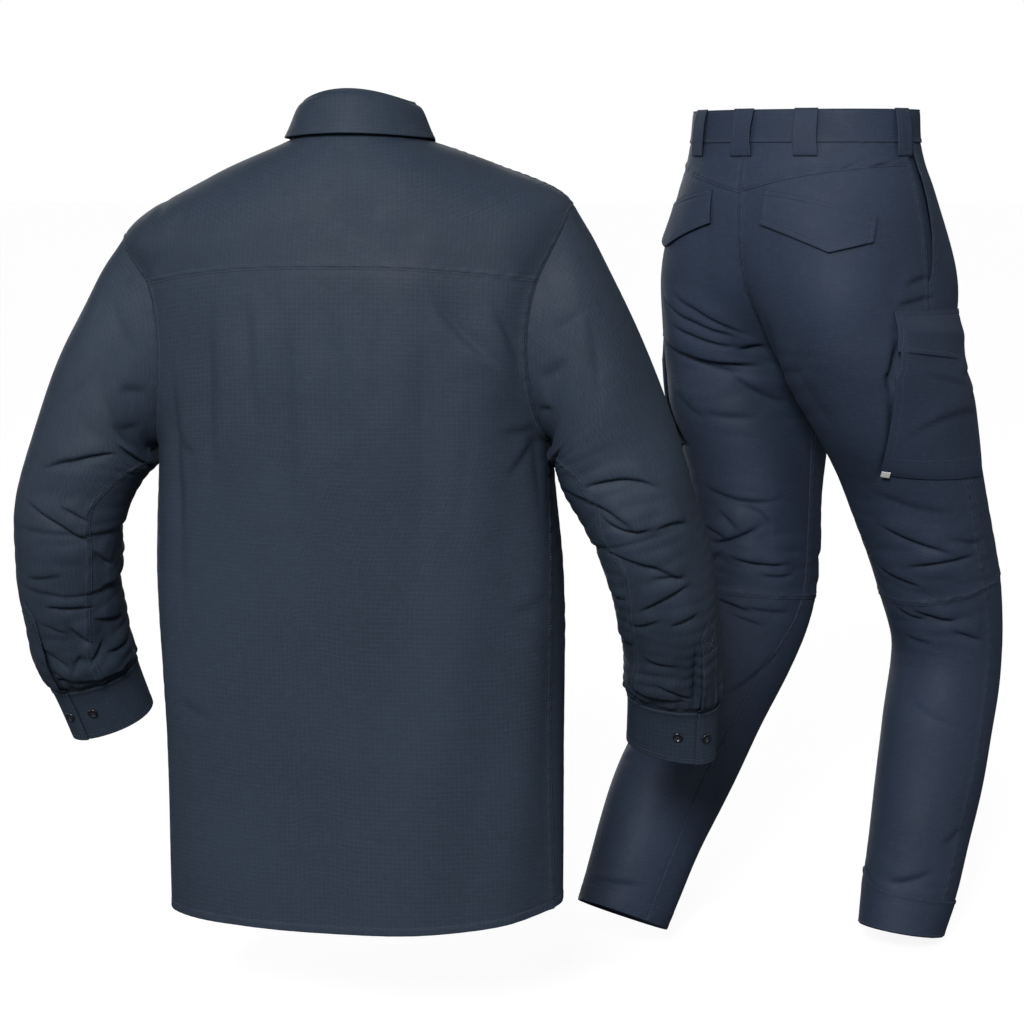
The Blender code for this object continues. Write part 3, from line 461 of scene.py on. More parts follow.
shirtFolds = {
    # seen from behind, across and down from the collar
    "back": (
        (-180, 70, -225, 150, 4, 2.2, 8, 0.6),
        (-205, 60, -228, 110, 3, 1.6, 6, 0.6),
        (80, 160, 150, 235, 4, 3.4, 9, -0.7),
        (140, 170, 195, 290, -5, 3.6, 8, -0.8),
        (170, 220, 200, 250, 3, 2.6, 5, 0.8),
        (-150, 165, -150, 380, 3, 3.6, 12, 0.8),
        (-110, 165, -105, 300, 2, 2.6, 10, 0.8),
        (-70, 165, -68, 420, 2, 3.4, 12, 0.8),
        (-20, 165, -22, 360, 2, 3, 9, -0.8),
        (25, 170, 20, 300, 2, 1.8, 12, 0.6),
        (72, 165, 68, 480, 3, 3.4, 15, -0.7),
        (120, 260, 105, 420, 3, 1.2, 14, 0.5),
        (-198, 200, -185, 520, 4, 2.2, 12, 0.6),
        (-200, 300, -170, 335, 4, 1.8, 8, 0.7),
        (190, 310, 160, 350, 4, 3, 8, 0.7),
        # hollows beside the armholes
        (176, 180, 192, 400, -4, 6, 12, 0.3),
        (198, 300, 150, 305, 4, 3, 7, 0.7),
        (-196, 260, -188, 420, 3, 4, 12, 0.3),
        (200, 480, 160, 500, 4, 1.4, 10, 0.7),
        (-200, 600, -160, 620, 4, 1.2, 10, 0.7),
    ),
    "front": (
        (-150, 150, -185, 240, 6, 3.5, 8, 0.8),
        (150, 150, 190, 235, 6, 3.5, 8, 0.8),
        (-80, 210, -180, 300, 10, 3, 10, 0.7),
        (70, 220, 175, 310, 10, 3, 10, 0.7),
        (-60, 430, -190, 480, -8, 2.6, 11, 0.7),
        (60, 450, 200, 495, -8, 2.6, 11, 0.7),
        (-70, 620, -180, 600, 8, 2, 12, 0.7),
        (80, 640, 190, 610, 8, 2.2, 12, 0.7),
        (-75, 110, -125, 160, 4, 2.2, 8, 0.7),
        (70, 110, 120, 165, 4, 2.2, 8, 0.7),
    ),
    "ripples": {
        "seeds": {"body": 11}, "lengths": (0.030, 0.060), "spins": (-9, 10),
        "soft": 0.0011, "softLengths": (0.35, 0.90), "softSpins": (5, 12),
        "zones": {"body": ((100, 300, 30, 90, 1), (-100, 300, 30, 90, 1),
                           (90, 520, 24, 160, 0.6), (-90, 560, 24, 160, 0.6))},
    },
}
shirtCreases = {name: creaseRows(shirtFolds[name]) for name in ("back", "front")}


def armholeShare(level):
    # how far the armhole has bent in at a level: 0 at the shoulder tip and in the armpit, 1 between
    tip, pit = shirtForm["tipLevel"], shirtForm["pitLevel"]
    return np.sin(np.arccos(1.0 - 2.0 * np.clip((level - tip) / (pit - tip), 0.0, 1.0)))


def shirtFold(angle, level):
    # folds of the body fade out at the collar and towards each armhole
    base = shirtPoint(angle, level)
    x, down = base[..., 0], -base[..., 2]
    face = np.cos(np.radians(angle))
    height = rippled(angle, down, shirtFolds["ripples"], "body") * ease(level, 1.2, 3.4)
    for name, sign in (("back", 1.0), ("front", -1.0)):
        rise, _ = creased(x, down, shirtCreases[name])
        height = height + rise * ease(sign * face, -0.05, 0.18)
    limb = np.where(face > 0, -shirtForm["armholeBack"], shirtForm["armholeFront"])
    edge = 90.0 + limb * armholeShare(level)
    away = np.where(face > 0, edge - np.abs(angle), np.abs(angle) - edge)
    height = height * np.maximum(ease(away, 1.0, 13.0), ease(level, 5.0, 5.4))
    return height * ease(level, 0.05, 0.9), np.zeros(np.shape(height))


sleeveFolds = {
    # turn and length along the sleeve at both ends, bow, depth, width, lip
    "left": (
        # armhole and armpit
        (255, 45, 236, 10, 0, 3, 6, 0.8),
        (252, 100, 222, 30, 4, 2.8, 8, 0.7),
        (300, 140, 275, 60, 4, 1.8, 11, 0.5),
        (305, 30, 260, 15, 6, 1.8, 9, 0.6),
        (240, 115, 185, 120, -10, 7, 9, 0.7),
        # round the elbow
        (290, 190, 235, 130, 5, 5, 5, 1),
        (300, 225, 228, 255, -2, 5.6, 5, 1),
        (265, 220, 232, 232, 0, 3.6, 4.2, 0.9),
        (300, 295, 258, 285, 2, 2.2, 4.5, 0.8),
        (225, 262, 198, 285, 2, 4, 5, 0.9),
        (216, 305, 188, 312, 0, 3.4, 5, 0.8),
        # down to the cuff
        (280, 325, 228, 330, -3, 5, 4.8, 1),
        (262, 345, 240, 378, 3, 4.2, 6, 0.9),
        (298, 375, 270, 400, 0, 3.2, 4.8, 0.8),
        (274, 410, 256, 385, 0, 2.8, 4.5, 0.8),
        (232, 345, 185, 365, 2, 4.4, 6, 0.9),
        (228, 395, 188, 400, 3, 3.6, 5.5, 0.8),
        (300, 398, 266, 418, 2, 3.4, 4.5, 0.8),
        (252, 402, 226, 376, 2, 3.6, 5, 0.8),
        (290, 345, 264, 358, 0, 2.4, 4.5, 0.7),
        (305, 412, 200, 428, 3, 6.8, 5.2, 1),
        (288, 430, 210, 437, 3, 4, 4, 0.8),
        (304, 340, 300, 436, -3, 5, 4.5, 0.3),
        # front and inner side
        (60, 200, 140, 225, 6, 4.5, 7, 0.9),
        (30, 262, 120, 250, -5, 5, 6, 1),
        (75, 305, 165, 290, 4, 5.2, 5.5, 1),
        (20, 345, 110, 362, 4, 4.2, 5.5, 0.9),
        (60, 395, 160, 405, 3, 4.5, 5.5, 0.9),
        (95, 120, 165, 170, 6, 4.5, 8, 0.8),
        (330, 250, 20, 235, 3, 2.6, 6.5, 0.7),
        (325, 305, 15, 320, 3, 3, 6.5, 0.8),
    ),
    "right": (
        # armhole and armpit
        (218, 0, 234, 42, 0, 3.4, 5, 0.8),
        (246, 12, 268, 50, 3, 2.6, 8, 0.7),
        (272, 20, 300, 55, 3, 1.8, 10, 0.6),
        (300, 45, 276, 120, 4, 1.6, 11, 0.5),
        (232, 115, 178, 140, -10, 5, 9, 0.7),
        # round the elbow
        (240, 185, 302, 212, -8, 4.6, 4.8, 1),
        (205, 175, 270, 245, -6, 4.8, 5, 1),
        (240, 218, 282, 246, 7, 5.2, 4.8, 1),
        (282, 248, 322, 254, -3, 4.2, 4.5, 0.9),
        (222, 255, 300, 305, -4, 4.2, 4.8, 1),
        (266, 292, 304, 302, 0, 3, 4.2, 0.8),
        (195, 300, 230, 312, 2, 4, 5, 0.9),
        # down to the cuff
        (246, 326, 306, 310, -2, 4, 4.8, 1),
        (273, 348, 308, 342, 0, 3.4, 4.5, 0.9),
        (230, 345, 268, 338, 2, 2.6, 5, 0.8),
        (190, 360, 226, 375, 2, 4.2, 5.5, 0.9),
        (235, 385, 280, 400, 3, 2.2, 5.5, 0.7),
        (192, 420, 290, 454, 4, 7.2, 5.8, 1),
        (256, 424, 294, 450, 0, 4.2, 4.5, 0.9),
        (198, 446, 255, 462, 2, 4.6, 4.8, 0.9),
        (300, 372, 302, 468, 3, 6, 4.8, 0.3),
        # front and inner side
        (60, 200, 140, 225, 6, 4.5, 7, 0.9),
        (30, 272, 120, 258, -5, 5, 6, 1),
        (75, 325, 165, 308, 4, 5.2, 5.5, 1),
        (20, 365, 110, 382, 4, 4.2, 5.5, 0.9),
        (60, 420, 160, 432, 3, 4.5, 5.5, 0.9),
        (95, 120, 165, 170, 6, 4.5, 8, 0.8),
        (328, 255, 15, 240, 3, 2.6, 6.5, 0.7),
    ),
    "unit": 0.058 * math.pi / 180.0,      # metres for a degree round the arm
    "ripples": {
        "seeds": {"left": 21, "right": 25}, "lengths": (0.026, 0.050), "spins": (-3, 4),
        "soft": 0.0009, "softLengths": (0.07, 0.16), "softSpins": (-3, 4),
        "zones": {
            "left": ((230, 270, 75, 90, 0.9), (80, 280, 80, 80, 1.2), (270, 405, 90, 40, 1.4),
                     (90, 400, 90, 45, 1.4), (200, 150, 60, 50, 0.8)),
            "right": ((240, 290, 75, 95, 0.9), (80, 290, 80, 85, 1.2), (270, 425, 90, 45, 1.4),
                      (90, 420, 90, 45, 1.4), (200, 150, 60, 50, 0.8)),
        },
    },
    "blouse": 0.0035,                     # how far a sleeve swells just above its cuff
    "pleat": 0.0012,                      # and how deep its gathers are there
    "gathers": {"seed": 31, "lengths": (0.05, 0.09), "spins": (12, 26), "slant": 0.3},
}


def sleeveFold(side):
    rows = creaseRows(sleeveFolds[side], across=1.0)
    made = sleeveFolds["gathers"]

    def folds(turn, along):
        # creases and ripples, plus a swell and gathers above the cuff; none of it at the armhole
        height, slide = creased(turn, along, rows, sleeveFolds["unit"], 360.0)
        height = height + rippled(turn, along, sleeveFolds["ripples"], side)
        rise = sleeveForm[side]["cuffTop"] - along
        swell = ease(rise, 0.0, 0.012) * np.exp(-(np.maximum(rise, 0.0) / 0.030) ** 2)
        gathers = waves(turn, made["slant"] * along, made["seed"], made["lengths"], made["spins"])
        height = height + swell * (sleeveFolds["blouse"] + sleeveFolds["pleat"] * gathers)
        fade = ease(along, 0.002, 0.035) * (0.15 + 0.85 * ease(rise, 0.001, 0.012))
        return height * fade, slide * fade
    return folds


legFolds = {
    # turn and level at both ends, bow, depth, width, lip
    "left": (
        # seat and crotch
        (72, 4.2, 16, 5.2, 5, 3.8, 6, 0.9),
        (92, 4.3, 26, 5.25, 8, 4.4, 6.5, 0.9),
        (88, 4.9, 34, 5.5, 6, 4, 6, 0.9),
        (38, 5.6, 14, 5.45, -2, 4.4, 5, 1),
        (110, 5.4, 30, 5.95, 9, 7, 7.2, 1),
        (88, 5.8, 50, 6.15, 4, 3.2, 6.5, 0.8),
        (60, 6.15, 16, 6.9, 5, 4.2, 8.5, 0.8),
        (110, 6.6, 80, 7.2, 4, 2.4, 10, 0.6),
        (82, 7.05, 36, 7.15, 4, 1.6, 8, 0.7),
        # above the knee seam
        (100, 8.25, 22, 8.42, 10, 3, 6, 0.9),
        (58, 8.52, 32, 8.95, -8, 2.2, 5.5, 0.8),
        (84, 8.6, 66, 8.85, 0, 3.4, 5, 0.9),
        (106, 8.85, 74, 8.98, 0, 3.6, 5, 0.9),
        (95, 9.1, 44, 8.78, 4, 5.5, 6, 1),
        (98, 9.42, 84, 9.2, 0, 3.6, 5, 0.9),
        (76, 9.28, 12, 9.35, 4, 5, 5.5, 1),
        (46, 9.52, 6, 9.5, 3, 3.8, 5, 0.9),
        # below it
        (90, 10.02, 52, 10.22, -2, 5, 5.5, 1),
        (62, 10.1, 8, 10.12, 3, 2.8, 6, 0.8),
        (75, 10.3, 30, 10.5, 2, 2.6, 6, 0.7),
        (46, 12, 2, 10.8, 5, 2.8, 7.5, 0.8),
        (100, 14.7, 36, 14.6, 3, 2.6, 7, 0.7),
        # front and sides
        (120, 9.6, 150, 9.3, 3, 3.6, 7, 0.8),
        (250, 9.1, 330, 9.3, 6, 3.4, 10, 0.7),
        (235, 9.8, 320, 9.7, -6, 3.4, 10, 0.7),
        (300, 5.1, 352, 5.7, 6, 5, 9, 0.8),
        (290, 5.9, 352, 6.1, 6, 4.6, 9, 0.8),
        (310, 4.4, 350, 4.9, 4, 3.2, 8, 0.8),
        (230, 11.2, 300, 11.6, 6, 2.6, 11, 0.6),
        (60, 11.3, 120, 11.05, 4, 2.2, 11, 0.6),
        (50, 12.8, 120, 13.1, 4, 1.8, 11, 0.6),
    ),
    "right": (
        # seat and thigh, smooth but for two long hollows
        (34, 4.6, 44, 6.6, 5, 4, 17, -0.6),
        (78, 5.2, 92, 7, 5, 2.2, 16, 0.5),
        (158, 4, 182, 3.8, 0, 2.8, 6, 0.8),
        (150, 4.38, 184, 4.22, 2, 2.8, 6, 0.8),
        (124, 1.45, 172, 1.15, 2, 1.8, 5, 0.6),
        (98, 1.45, 126, 1.2, 2, 1.6, 5, 0.6),
        # above the knee seam
        (96, 7.9, 160, 8.4, 4, 2.2, 11, 0.6),
        (90, 8.4, 152, 8.92, 0, 4.4, 6, 1),
        (104, 9, 174, 9.06, -4, 4.4, 5.5, 1),
        (70, 9.05, 114, 9.3, -2, 4.6, 6, 1),
        (150, 8.7, 185, 8.95, 3, 2.8, 7, 0.7),
        # below it
        (98, 9.6, 140, 9.85, 2, 5.2, 6, 1),
        (80, 9.6, 112, 9.8, 2, 3.6, 5.5, 0.9),
        (134, 10, 164, 10.3, 0, 4, 6, 0.9),
        (84, 10.1, 112, 10.25, 3, 2.2, 7, 0.7),
        (98, 14.2, 150, 13.9, 4, 3.4, 7, 0.8),
        (150, 13.55, 180, 13.2, 3, 2, 7, 0.7),
        (90, 11.6, 150, 11.9, 5, 1.4, 12, 0.6),
        # front and sides
        (250, 9, 330, 9.2, 6, 3.4, 10, 0.7),
        (235, 9.8, 320, 9.7, -6, 3.4, 10, 0.7),
        (300, 5.1, 352, 5.7, 6, 5, 9, 0.8),
        (290, 5.9, 352, 6.1, 6, 4.6, 9, 0.8),
        (230, 11.2, 300, 11.6, 6, 2.6, 11, 0.6),
    ),
    # the cloth is drawn in beside both edges of a cargo pocket, where its gusset folds away
    "gaps": (
        (152, 5.1, 141, 6.5, 2, 10, 6, 0.1),
        (142, 6.4, 106, 7.75, 9, 11, 6, 0.1),
        (231, 5.7, 201, 8.15, 12, 11, 6.5, -0.1),
    ),
    "unit": 0.080 * math.pi / 180.0,
    "ripples": {
        "seeds": {"left": 41, "right": 47}, "lengths": (0.030, 0.060), "spins": (-4, 5),
        "soft": 0.0012, "softLengths": (0.10, 0.24), "softSpins": (-3, 4),
        "zones": {
            "left": ((60, 540, 70, 85, 1.4), (40, 320, 50, 60, 1.4), (300, 310, 50, 60, 1.4),
                     (60, 960, 90, 35, 0.8), (280, 560, 60, 70, 1)),
            "right": ((110, 550, 60, 85, 1.4), (40, 320, 50, 60, 1.4), (300, 310, 50, 60, 1.4),
                      (110, 940, 70, 40, 0.8), (280, 560, 60, 70, 1)),
        },
    },
}


def legFold(side, gaps):
    drop = legDrop(side)
    rows = creaseRows(legFolds[side] + (legFolds["gaps"] if gaps else ()), 1.0, 1.0)
    rows[:, 1:4:2] = drop(rows[:, 1:4:2])

    def folds(turn, level):
        # none of it under the waistband, nor at the middle seams above the crotch
        down = drop(level)
        height, slide = creased(turn, down, rows, legFolds["unit"], 360.0)
        height = height + rippled(turn, down, legFolds["ripples"], side)
        middle = np.minimum(turn % 360.0, 360.0 - turn % 360.0)
        fade = np.maximum(ease(middle, 1.0, 14.0), ease(level, 5.8, 6.6)) * ease(level, 1.0, 1.5)
        return height * fade, slide * fade
    return folds


body = Surface(shirtPoint, 1.0, (0.5, 0.01), shirtFold)
stand = Surface(collarPoint(standTable), -1.0, (0.5, 0.01))
leaf = Surface(rolledLeaf, 1.0, (0.5, 0.01))
waist = Surface(waistPoint, 1.0, (0.5, 0.01))
arms = {side: Surface(sleevePoint(side), sign, (0.5, 0.001)) for side, sign in handSign.items()}
sleeves = {side: Surface(sleevePoint(side), sign, (0.5, 0.001), sleeveFold(side))
           for side, sign in handSign.items()}
legs, pockets = ({side: Surface(legPoint(side), sign, (0.5, 0.01), legFold(side, gaps))
                  for side, sign in handSign.items()} for gaps in (True, False))


# ---- panels: a grid on a surface, lapped, puckered and stitched along its edges, with a wall ----
cloth = {
    "wall": 0.0009,
    "doubled": 0.0015,                # cuffs, collar, waistband, flaps and loops
    # between grid lines, across and down, and how many of them make one line on the inside
    "steps": {"body": (0.0042, 0.0042), "plain": (0.0052, 0.0052), "sleeve": (0.0023, 0.0023),
              "leg": (0.0032, 0.0030), "patch": (0.0036, 0.0036)},
    "stride": {"body": 2, "plain": 2, "sleeve": 2, "leg": 2, "patch": 1},
    "tuck": 0.0035,                   # how far an edge runs on under its neighbour
    "lift": {"over": 0.0009, "low": 0.0004, "hem": 0.0004, "free": 0.0, "under": 0.0},
    "sink": 0.12,                     # how steeply a tucked edge goes down
    "lapWidth": 0.0085,               # how wide an over edge stays raised
    # waves that stitching draws in, beside and between its rows, and how they run
    "pucker": {"seam": 0.00016, "fell": 0.00026,
               "runs": ((250.0, 190.0, 310.0), (-410.0, 330.0, 470.0))},
    "groove": 0.00060,                # how deep a row of stitches sits
    "double": (0.0016, 0.0072),       # rows of a felled seam, from its edge
    "nearEdge": (0.0, 0.0008, 0.0018, 0.0034, 0.0052, 0.0066, 0.0079, 0.0094, 0.0118),
}
# what an edge can be, with its rows of stitches
under = ("under", ())
free = ("free", ())
felled = ("over", cloth["double"])


def edged(kind, *rows):
    # an edge with rows of stitches, each so far in from it
    return kind, rows


thread = {"pitch": 0.0031, "length": 0.0023, "width": 0.00062, "height": 0.00036}
stitches = {"shirt": [], "trousers": []}
sideNames = ("start", "end", "top", "bottom")


def arcs(points, axis):
    # length along each grid line from its first point
    steps = np.linalg.norm(np.diff(points, axis=axis), axis=-1)
    zero = np.zeros_like(np.take(steps, [0], axis=axis))
    return np.concatenate([zero, np.cumsum(steps, axis=axis)], axis=axis)


def spread(length, step, low, high):
    # fractions of a length: even steps, closer at stitched edges, and tucked ends past 0 and 1
    count = max(3, int(round(length / step)))
    lines = [np.linspace(0.0, 1.0, count + 1)]
    near = np.array(cloth["nearEdge"]) / length
    near = near[near < 0.45]
    for kind, sign, edge in ((low, 1.0, 0.0), (high, -1.0, 1.0)):
        if kind == "under":
            lines.append(edge - sign * np.array([0.5, 1.0]) * cloth["tuck"] / length)
        else:
            inside = np.abs(lines[0] - edge)
            lines[0] = lines[0][(inside > near[-1] + 0.35 * step / length) | (inside < 1e-9)]
            lines.append(edge + sign * near)
    return np.unique(np.round(np.concatenate(lines), 7))


def rowAt(points, outward, distance, wanted):
    # the point on every grid line (along axis 0) at the wanted distance from its first edge
    i = np.clip((distance < wanted).sum(axis=0) - 1, 0, len(points) - 2)
    j = np.arange(points.shape[1])
    f = ((wanted - distance[i, j]) / np.maximum(distance[i + 1, j] - distance[i, j], 1e-9))[:, None]
    return [grid[i, j] + f * (grid[i + 1, j] - grid[i, j]) for grid in (points, outward)]


def sew(garment, path, outward, lift, pitch=None):
    # stitches at even distances along a path, each with its place, direction and outward normal
    pitch = pitch or thread["pitch"]
    length = np.concatenate([[0.0], np.cumsum(np.linalg.norm(np.diff(path, axis=0), axis=1))])
    middle = np.arange(pitch * 0.6, length[-1] - pitch * 0.4, pitch)
    if len(middle) == 0:
        return

    def read(values, where):
        return np.stack([np.interp(where, length, values[:, k]) for k in range(3)], -1)
    normal = read(outward, middle)
    normal /= np.linalg.norm(normal, axis=1, keepdims=True)
    along = read(path, middle + 0.0012) - read(path, middle - 0.0012)
    along /= np.maximum(np.linalg.norm(along, axis=1, keepdims=True), 1e-9)
    size = np.full(len(middle), thread["length"] * min(1.0, pitch / thread["pitch"]))
    stitches[garment].append((read(path, middle) + lift * normal, along, normal, size))


def outwardOf(points, hand):
    # unit normals of a grid of points
    normal = np.cross(np.gradient(points, axis=0), np.gradient(points, axis=1)) * hand
    return normal / np.maximum(np.linalg.norm(normal, axis=-1, keepdims=True), 1e-12)


def meshPiece(name, vertices, faces, uv=None):
    # a smooth mesh in the scene, with its own UV map where it has one
    mesh = bpy.data.meshes.new(name)
    mesh.from_pydata(vertices.tolist(), [], faces)
    if uv is not None:
        layer = mesh.uv_layers.new(name="UVMap")
        corner = np.empty(len(mesh.loops), dtype=np.int32)
        mesh.loops.foreach_get("vertex_index", corner)
        layer.data.foreach_set("uv", uv.reshape(-1, 2)[corner].astype(np.float32).ravel())
    mesh.shade_smooth()
    piece = bpy.data.objects.new(name, mesh)
    bpy.context.scene.collection.objects.link(piece)
    return piece


def gridFaces(index, hand=1.0):
    # a quad for every cell between neighbouring rows and columns
    faces = np.stack([index[:-1, :-1], index[1:, :-1], index[1:, 1:], index[:-1, 1:]], -1)
    return faces.reshape(-1, 4)[:, ::1 if hand > 0 else -1]


def loopOf(index):
    # the outline of a grid of indices, once round
    return np.concatenate([index[0, :-1], index[:-1, -1], index[-1, :0:-1], index[:0:-1, 0]])


def thickened(points, normal, wall, stride, hand, uv):
    # a closed shell: the outer grid, an inner one on every other line that stays below the troughs
    # around it, and a rim between their outlines
    rows, columns = (np.unique(np.append(np.arange(0, n, stride), n - 1)) for n in points.shape[:2])
    pick = np.ix_(rows, columns)
    own, away = points[pick], normal[pick]
    deep = np.zeros(own.shape[:2])
    for i in range(1 - stride, stride) if stride > 1 else ():
        for j in range(1 - stride, stride):
            near = points[np.ix_(np.clip(rows + i, 0, len(points) - 1),
                                 np.clip(columns + j, 0, points.shape[1] - 1))]
            deep = np.minimum(deep, ((near - own) * away).sum(-1))
    inner = own + away * (np.maximum(deep, -0.006) - wall / 2)[..., None]
    outer = points + normal * wall / 2
    outerIndex = np.arange(outer[..., 0].size).reshape(outer.shape[:2])
    innerIndex = outerIndex.size + np.arange(own[..., 0].size).reshape(own.shape[:2])
    around, inside = loopOf(outerIndex), loopOf(innerIndex)
    corner = np.isin(around, loopOf(outerIndex[pick]))
    part = np.cumsum(corner) - 1
    following = np.roll(around, -1)
    rim = [np.stack([around, following, inside[part]], -1),
           np.stack([np.roll(around[corner], -1), np.roll(inside, -1), inside], -1)]
    rim = np.concatenate(rim)[:, ::1 if hand > 0 else -1]
    quads = np.concatenate([gridFaces(outerIndex, hand), gridFaces(innerIndex, -hand)])
    vertices = np.concatenate([outer.reshape(-1, 3), inner.reshape(-1, 3)])
    uv = np.concatenate([uv.reshape(-1, 2), uv[pick].reshape(-1, 2)])
    return vertices, quads.tolist() + rim.tolist(), uv


def panel(node, surface, place, edges, garment="shirt", step="patch", wall="wall", out=None,
          sink=None, withPieces=()):
    # place(a, b) gives turn and level at fractions a across and b down, out(a, b, turn, level)
    # lifts it, and edges are its start, end, top and bottom
    kinds = {side: kind for side, (kind, _) in zip(sideNames, edges)}
    rows = {side: stitched for side, (_, stitched) in zip(sideNames, edges)}
    ways = np.linspace(0.0, 1.0, 33)
    some = [np.full(33, part) for part in (0.0, 0.35, 0.7, 1.0)]
    wide = np.mean([arcs(surface.point(*place(ways, b)), 0)[-1] for b in some])
    long = max(arcs(surface.point(*place(a, ways)), 0)[-1] for a in some)
    across = spread(wide, cloth["steps"][step][0], kinds["start"], kinds["end"])
    down = spread(long, cloth["steps"][step][1], kinds["top"], kinds["bottom"])
    a, b = np.meshgrid(across, down)
    turn, level = place(a, b)
    plain = surface.point(turn, level)
    sideways, downwards = arcs(plain, 1), arcs(plain, 0)
    first, last = np.argmin(np.abs(across)), np.argmin(np.abs(across - 1.0))
    upper, lower = np.argmin(np.abs(down)), np.argmin(np.abs(down - 1.0))
    distance = {
        "start": sideways - sideways[:, first:first + 1],
        "end": sideways[:, last:last + 1] - sideways,
        "top": downwards - downwards[upper:upper + 1],
        "bottom": downwards[lower:lower + 1] - downwards,
    }
    raised = np.zeros(a.shape)
    low = np.zeros(a.shape)
    runs = np.array(cloth["pucker"]["runs"])
    wave = np.sin(plain @ runs[0]) + np.sin(plain @ runs[1] + 1.3)
    for side in sideNames:
        d = distance[side]
        kind = kinds[side]
        width = max(rows[side]) + 0.0012 if rows[side] else cloth["lapWidth"]
        lift = cloth["lift"][kind] * (1 - ease(d, width, width + 0.0016))
        raised = np.maximum(raised, lift * (0.45 + 0.55 * ease(d, 0.0, 0.0012)))
        if kind == "under":
            steep = (sink or {}).get(side, cloth["sink"])
            low -= 0.00025 * (1 - ease(d, 0.0, 0.004)) + steep * np.maximum(-d, 0.0)
        for r in rows[side]:
            low -= cloth["groove"] * np.exp(-((d - r) / 0.0011) ** 2)
        if kind != "free" and step != "patch":
            beside = np.exp(-(np.maximum(d - 0.002, 0.0) / 0.007) ** 2)
            low += cloth["pucker"]["seam"] * wave * beside
        if len(rows[side]) == 2 and step != "patch":
            near, far = rows[side]
            inside = ease(d, near, near + 0.0012) * (1 - ease(d, far - 0.0012, far))
            low += cloth["pucker"]["fell"] * wave * inside
    lifted = raised + low
    if out is not None:
        lifted = lifted + out(a, b, turn, level)
    points = surface.points(turn, level, lifted)
    folded = arcs(points, 1), arcs(points, 0)
    centre = len(across) // 2
    uv = np.stack([folded[0] - folded[0][:, centre:centre + 1], -folded[1]], -1)
    normal = surface.frame(turn, level)[0]
    shell = thickened(points, normal, cloth[wall], cloth["stride"][step], surface.hand, uv)
    piece = meshPiece(node + "_cloth", *shell)
    outward = outwardOf(points, surface.hand)
    for side in sideNames:
        for r in rows[side]:
            turned90 = side in ("start", "end")
            order = slice(None, None, -1) if side in ("end", "bottom") else slice(None)
            swap = (lambda v: v.swapaxes(0, 1)[order]) if turned90 else (lambda v: v[order])
            path, normals = rowAt(swap(points), swap(outward), swap(distance[side]), r)
            inner = slice(upper, lower + 1) if turned90 else slice(first, last + 1)
            sew(garment, path[inner], normals[inner], cloth[wall] / 2 + 0.0001)
    register(piece, node, garmentSlots[garment])


garmentSlots = {"shirt": "shirt_cloth", "trousers": "trouser_cloth"}


def register(piece, node, slotName, finish=None):
    # the piece rides with the garment, takes its slot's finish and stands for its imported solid
    piece.data.materials.append(finishes[finish or slotName])
    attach(piece, "root")
    if node:
        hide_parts(node)


# ---- materials ----
looks = {
    "shirt_cloth": {"base": (0.0235, 0.0355, 0.0560), "light": 1.80, "lines": 0.62},
    "trouser_cloth": {"base": (0.0265, 0.0400, 0.0700), "light": 1.75, "lines": 0.22},
    "rough": 0.64,
    "sheen": 0.015,
    "pitch": 0.0052,            # between the thick threads of the ripstop
    "line": 0.00034,            # half width of one
    "thread": (0.095, 0.115, 0.150),
    "button": (0.006, 0.008, 0.013),
    "label": (0.74, 0.74, 0.72),
}


def feed(tree, socket, value):
    # links an output to a socket, or sets the socket's own constant
    if hasattr(value, "is_output"):
        tree.links.new(value, socket)
    else:
        socket.default_value = value


class Nodes:
    # a small helper that adds nodes to a material and links them
    def __init__(self, name):
        self.material = bpy.data.materials.new(name)
        self.material.use_nodes = True
        self.tree = self.material.node_tree
        self.shader = self.tree.nodes["Principled BSDF"]

    def add(self, kind, settings=(), inputs=(), **named):
        node = self.tree.nodes.new(kind)
        for key, value in dict(settings).items():
            setattr(node, key, value)
        for key, value in [*enumerate(inputs), *named.items()]:
            feed(self.tree, node.inputs[key], value)
        return node

    def math(self, operation, first, second=0.0, third=0.0):
        node = self.add("ShaderNodeMath", {"operation": operation}, (first, second, third))
        return node.outputs[0]

    def noise(self, vector, scale, detail=3.0, rough=0.55):
        node = self.add("ShaderNodeTexNoise", Vector=vector, Scale=scale, Detail=detail,
                        Roughness=rough)
        return node.outputs["Fac"]

    def band(self, value, low, high, fromLow=0.0, fromHigh=1.0):
        return self.add("ShaderNodeMapRange", {"interpolation_type": "SMOOTHSTEP"},
                        (value, fromLow, fromHigh, low, high)).outputs[0]

    def mix(self, amount, first, second):
        node = self.add("ShaderNodeMix", {"data_type": "RGBA"}, (amount,))
        for socket, value in zip(node.inputs[6:8], (first, second)):
            feed(self.tree, socket, (*value, 1.0) if isinstance(value, tuple) else value)
        return node.outputs[2]

    def bump(self, height, strength, distance, below=None):
        lower = {} if below is None else {"Normal": below}
        return self.add("ShaderNodeBump", Height=height, Strength=strength, Distance=distance,
                        **lower).outputs["Normal"]

    def surface(self, **sockets):
        for key, value in sockets.items():
            feed(self.tree, self.shader.inputs[key.replace("_", " ")], value)


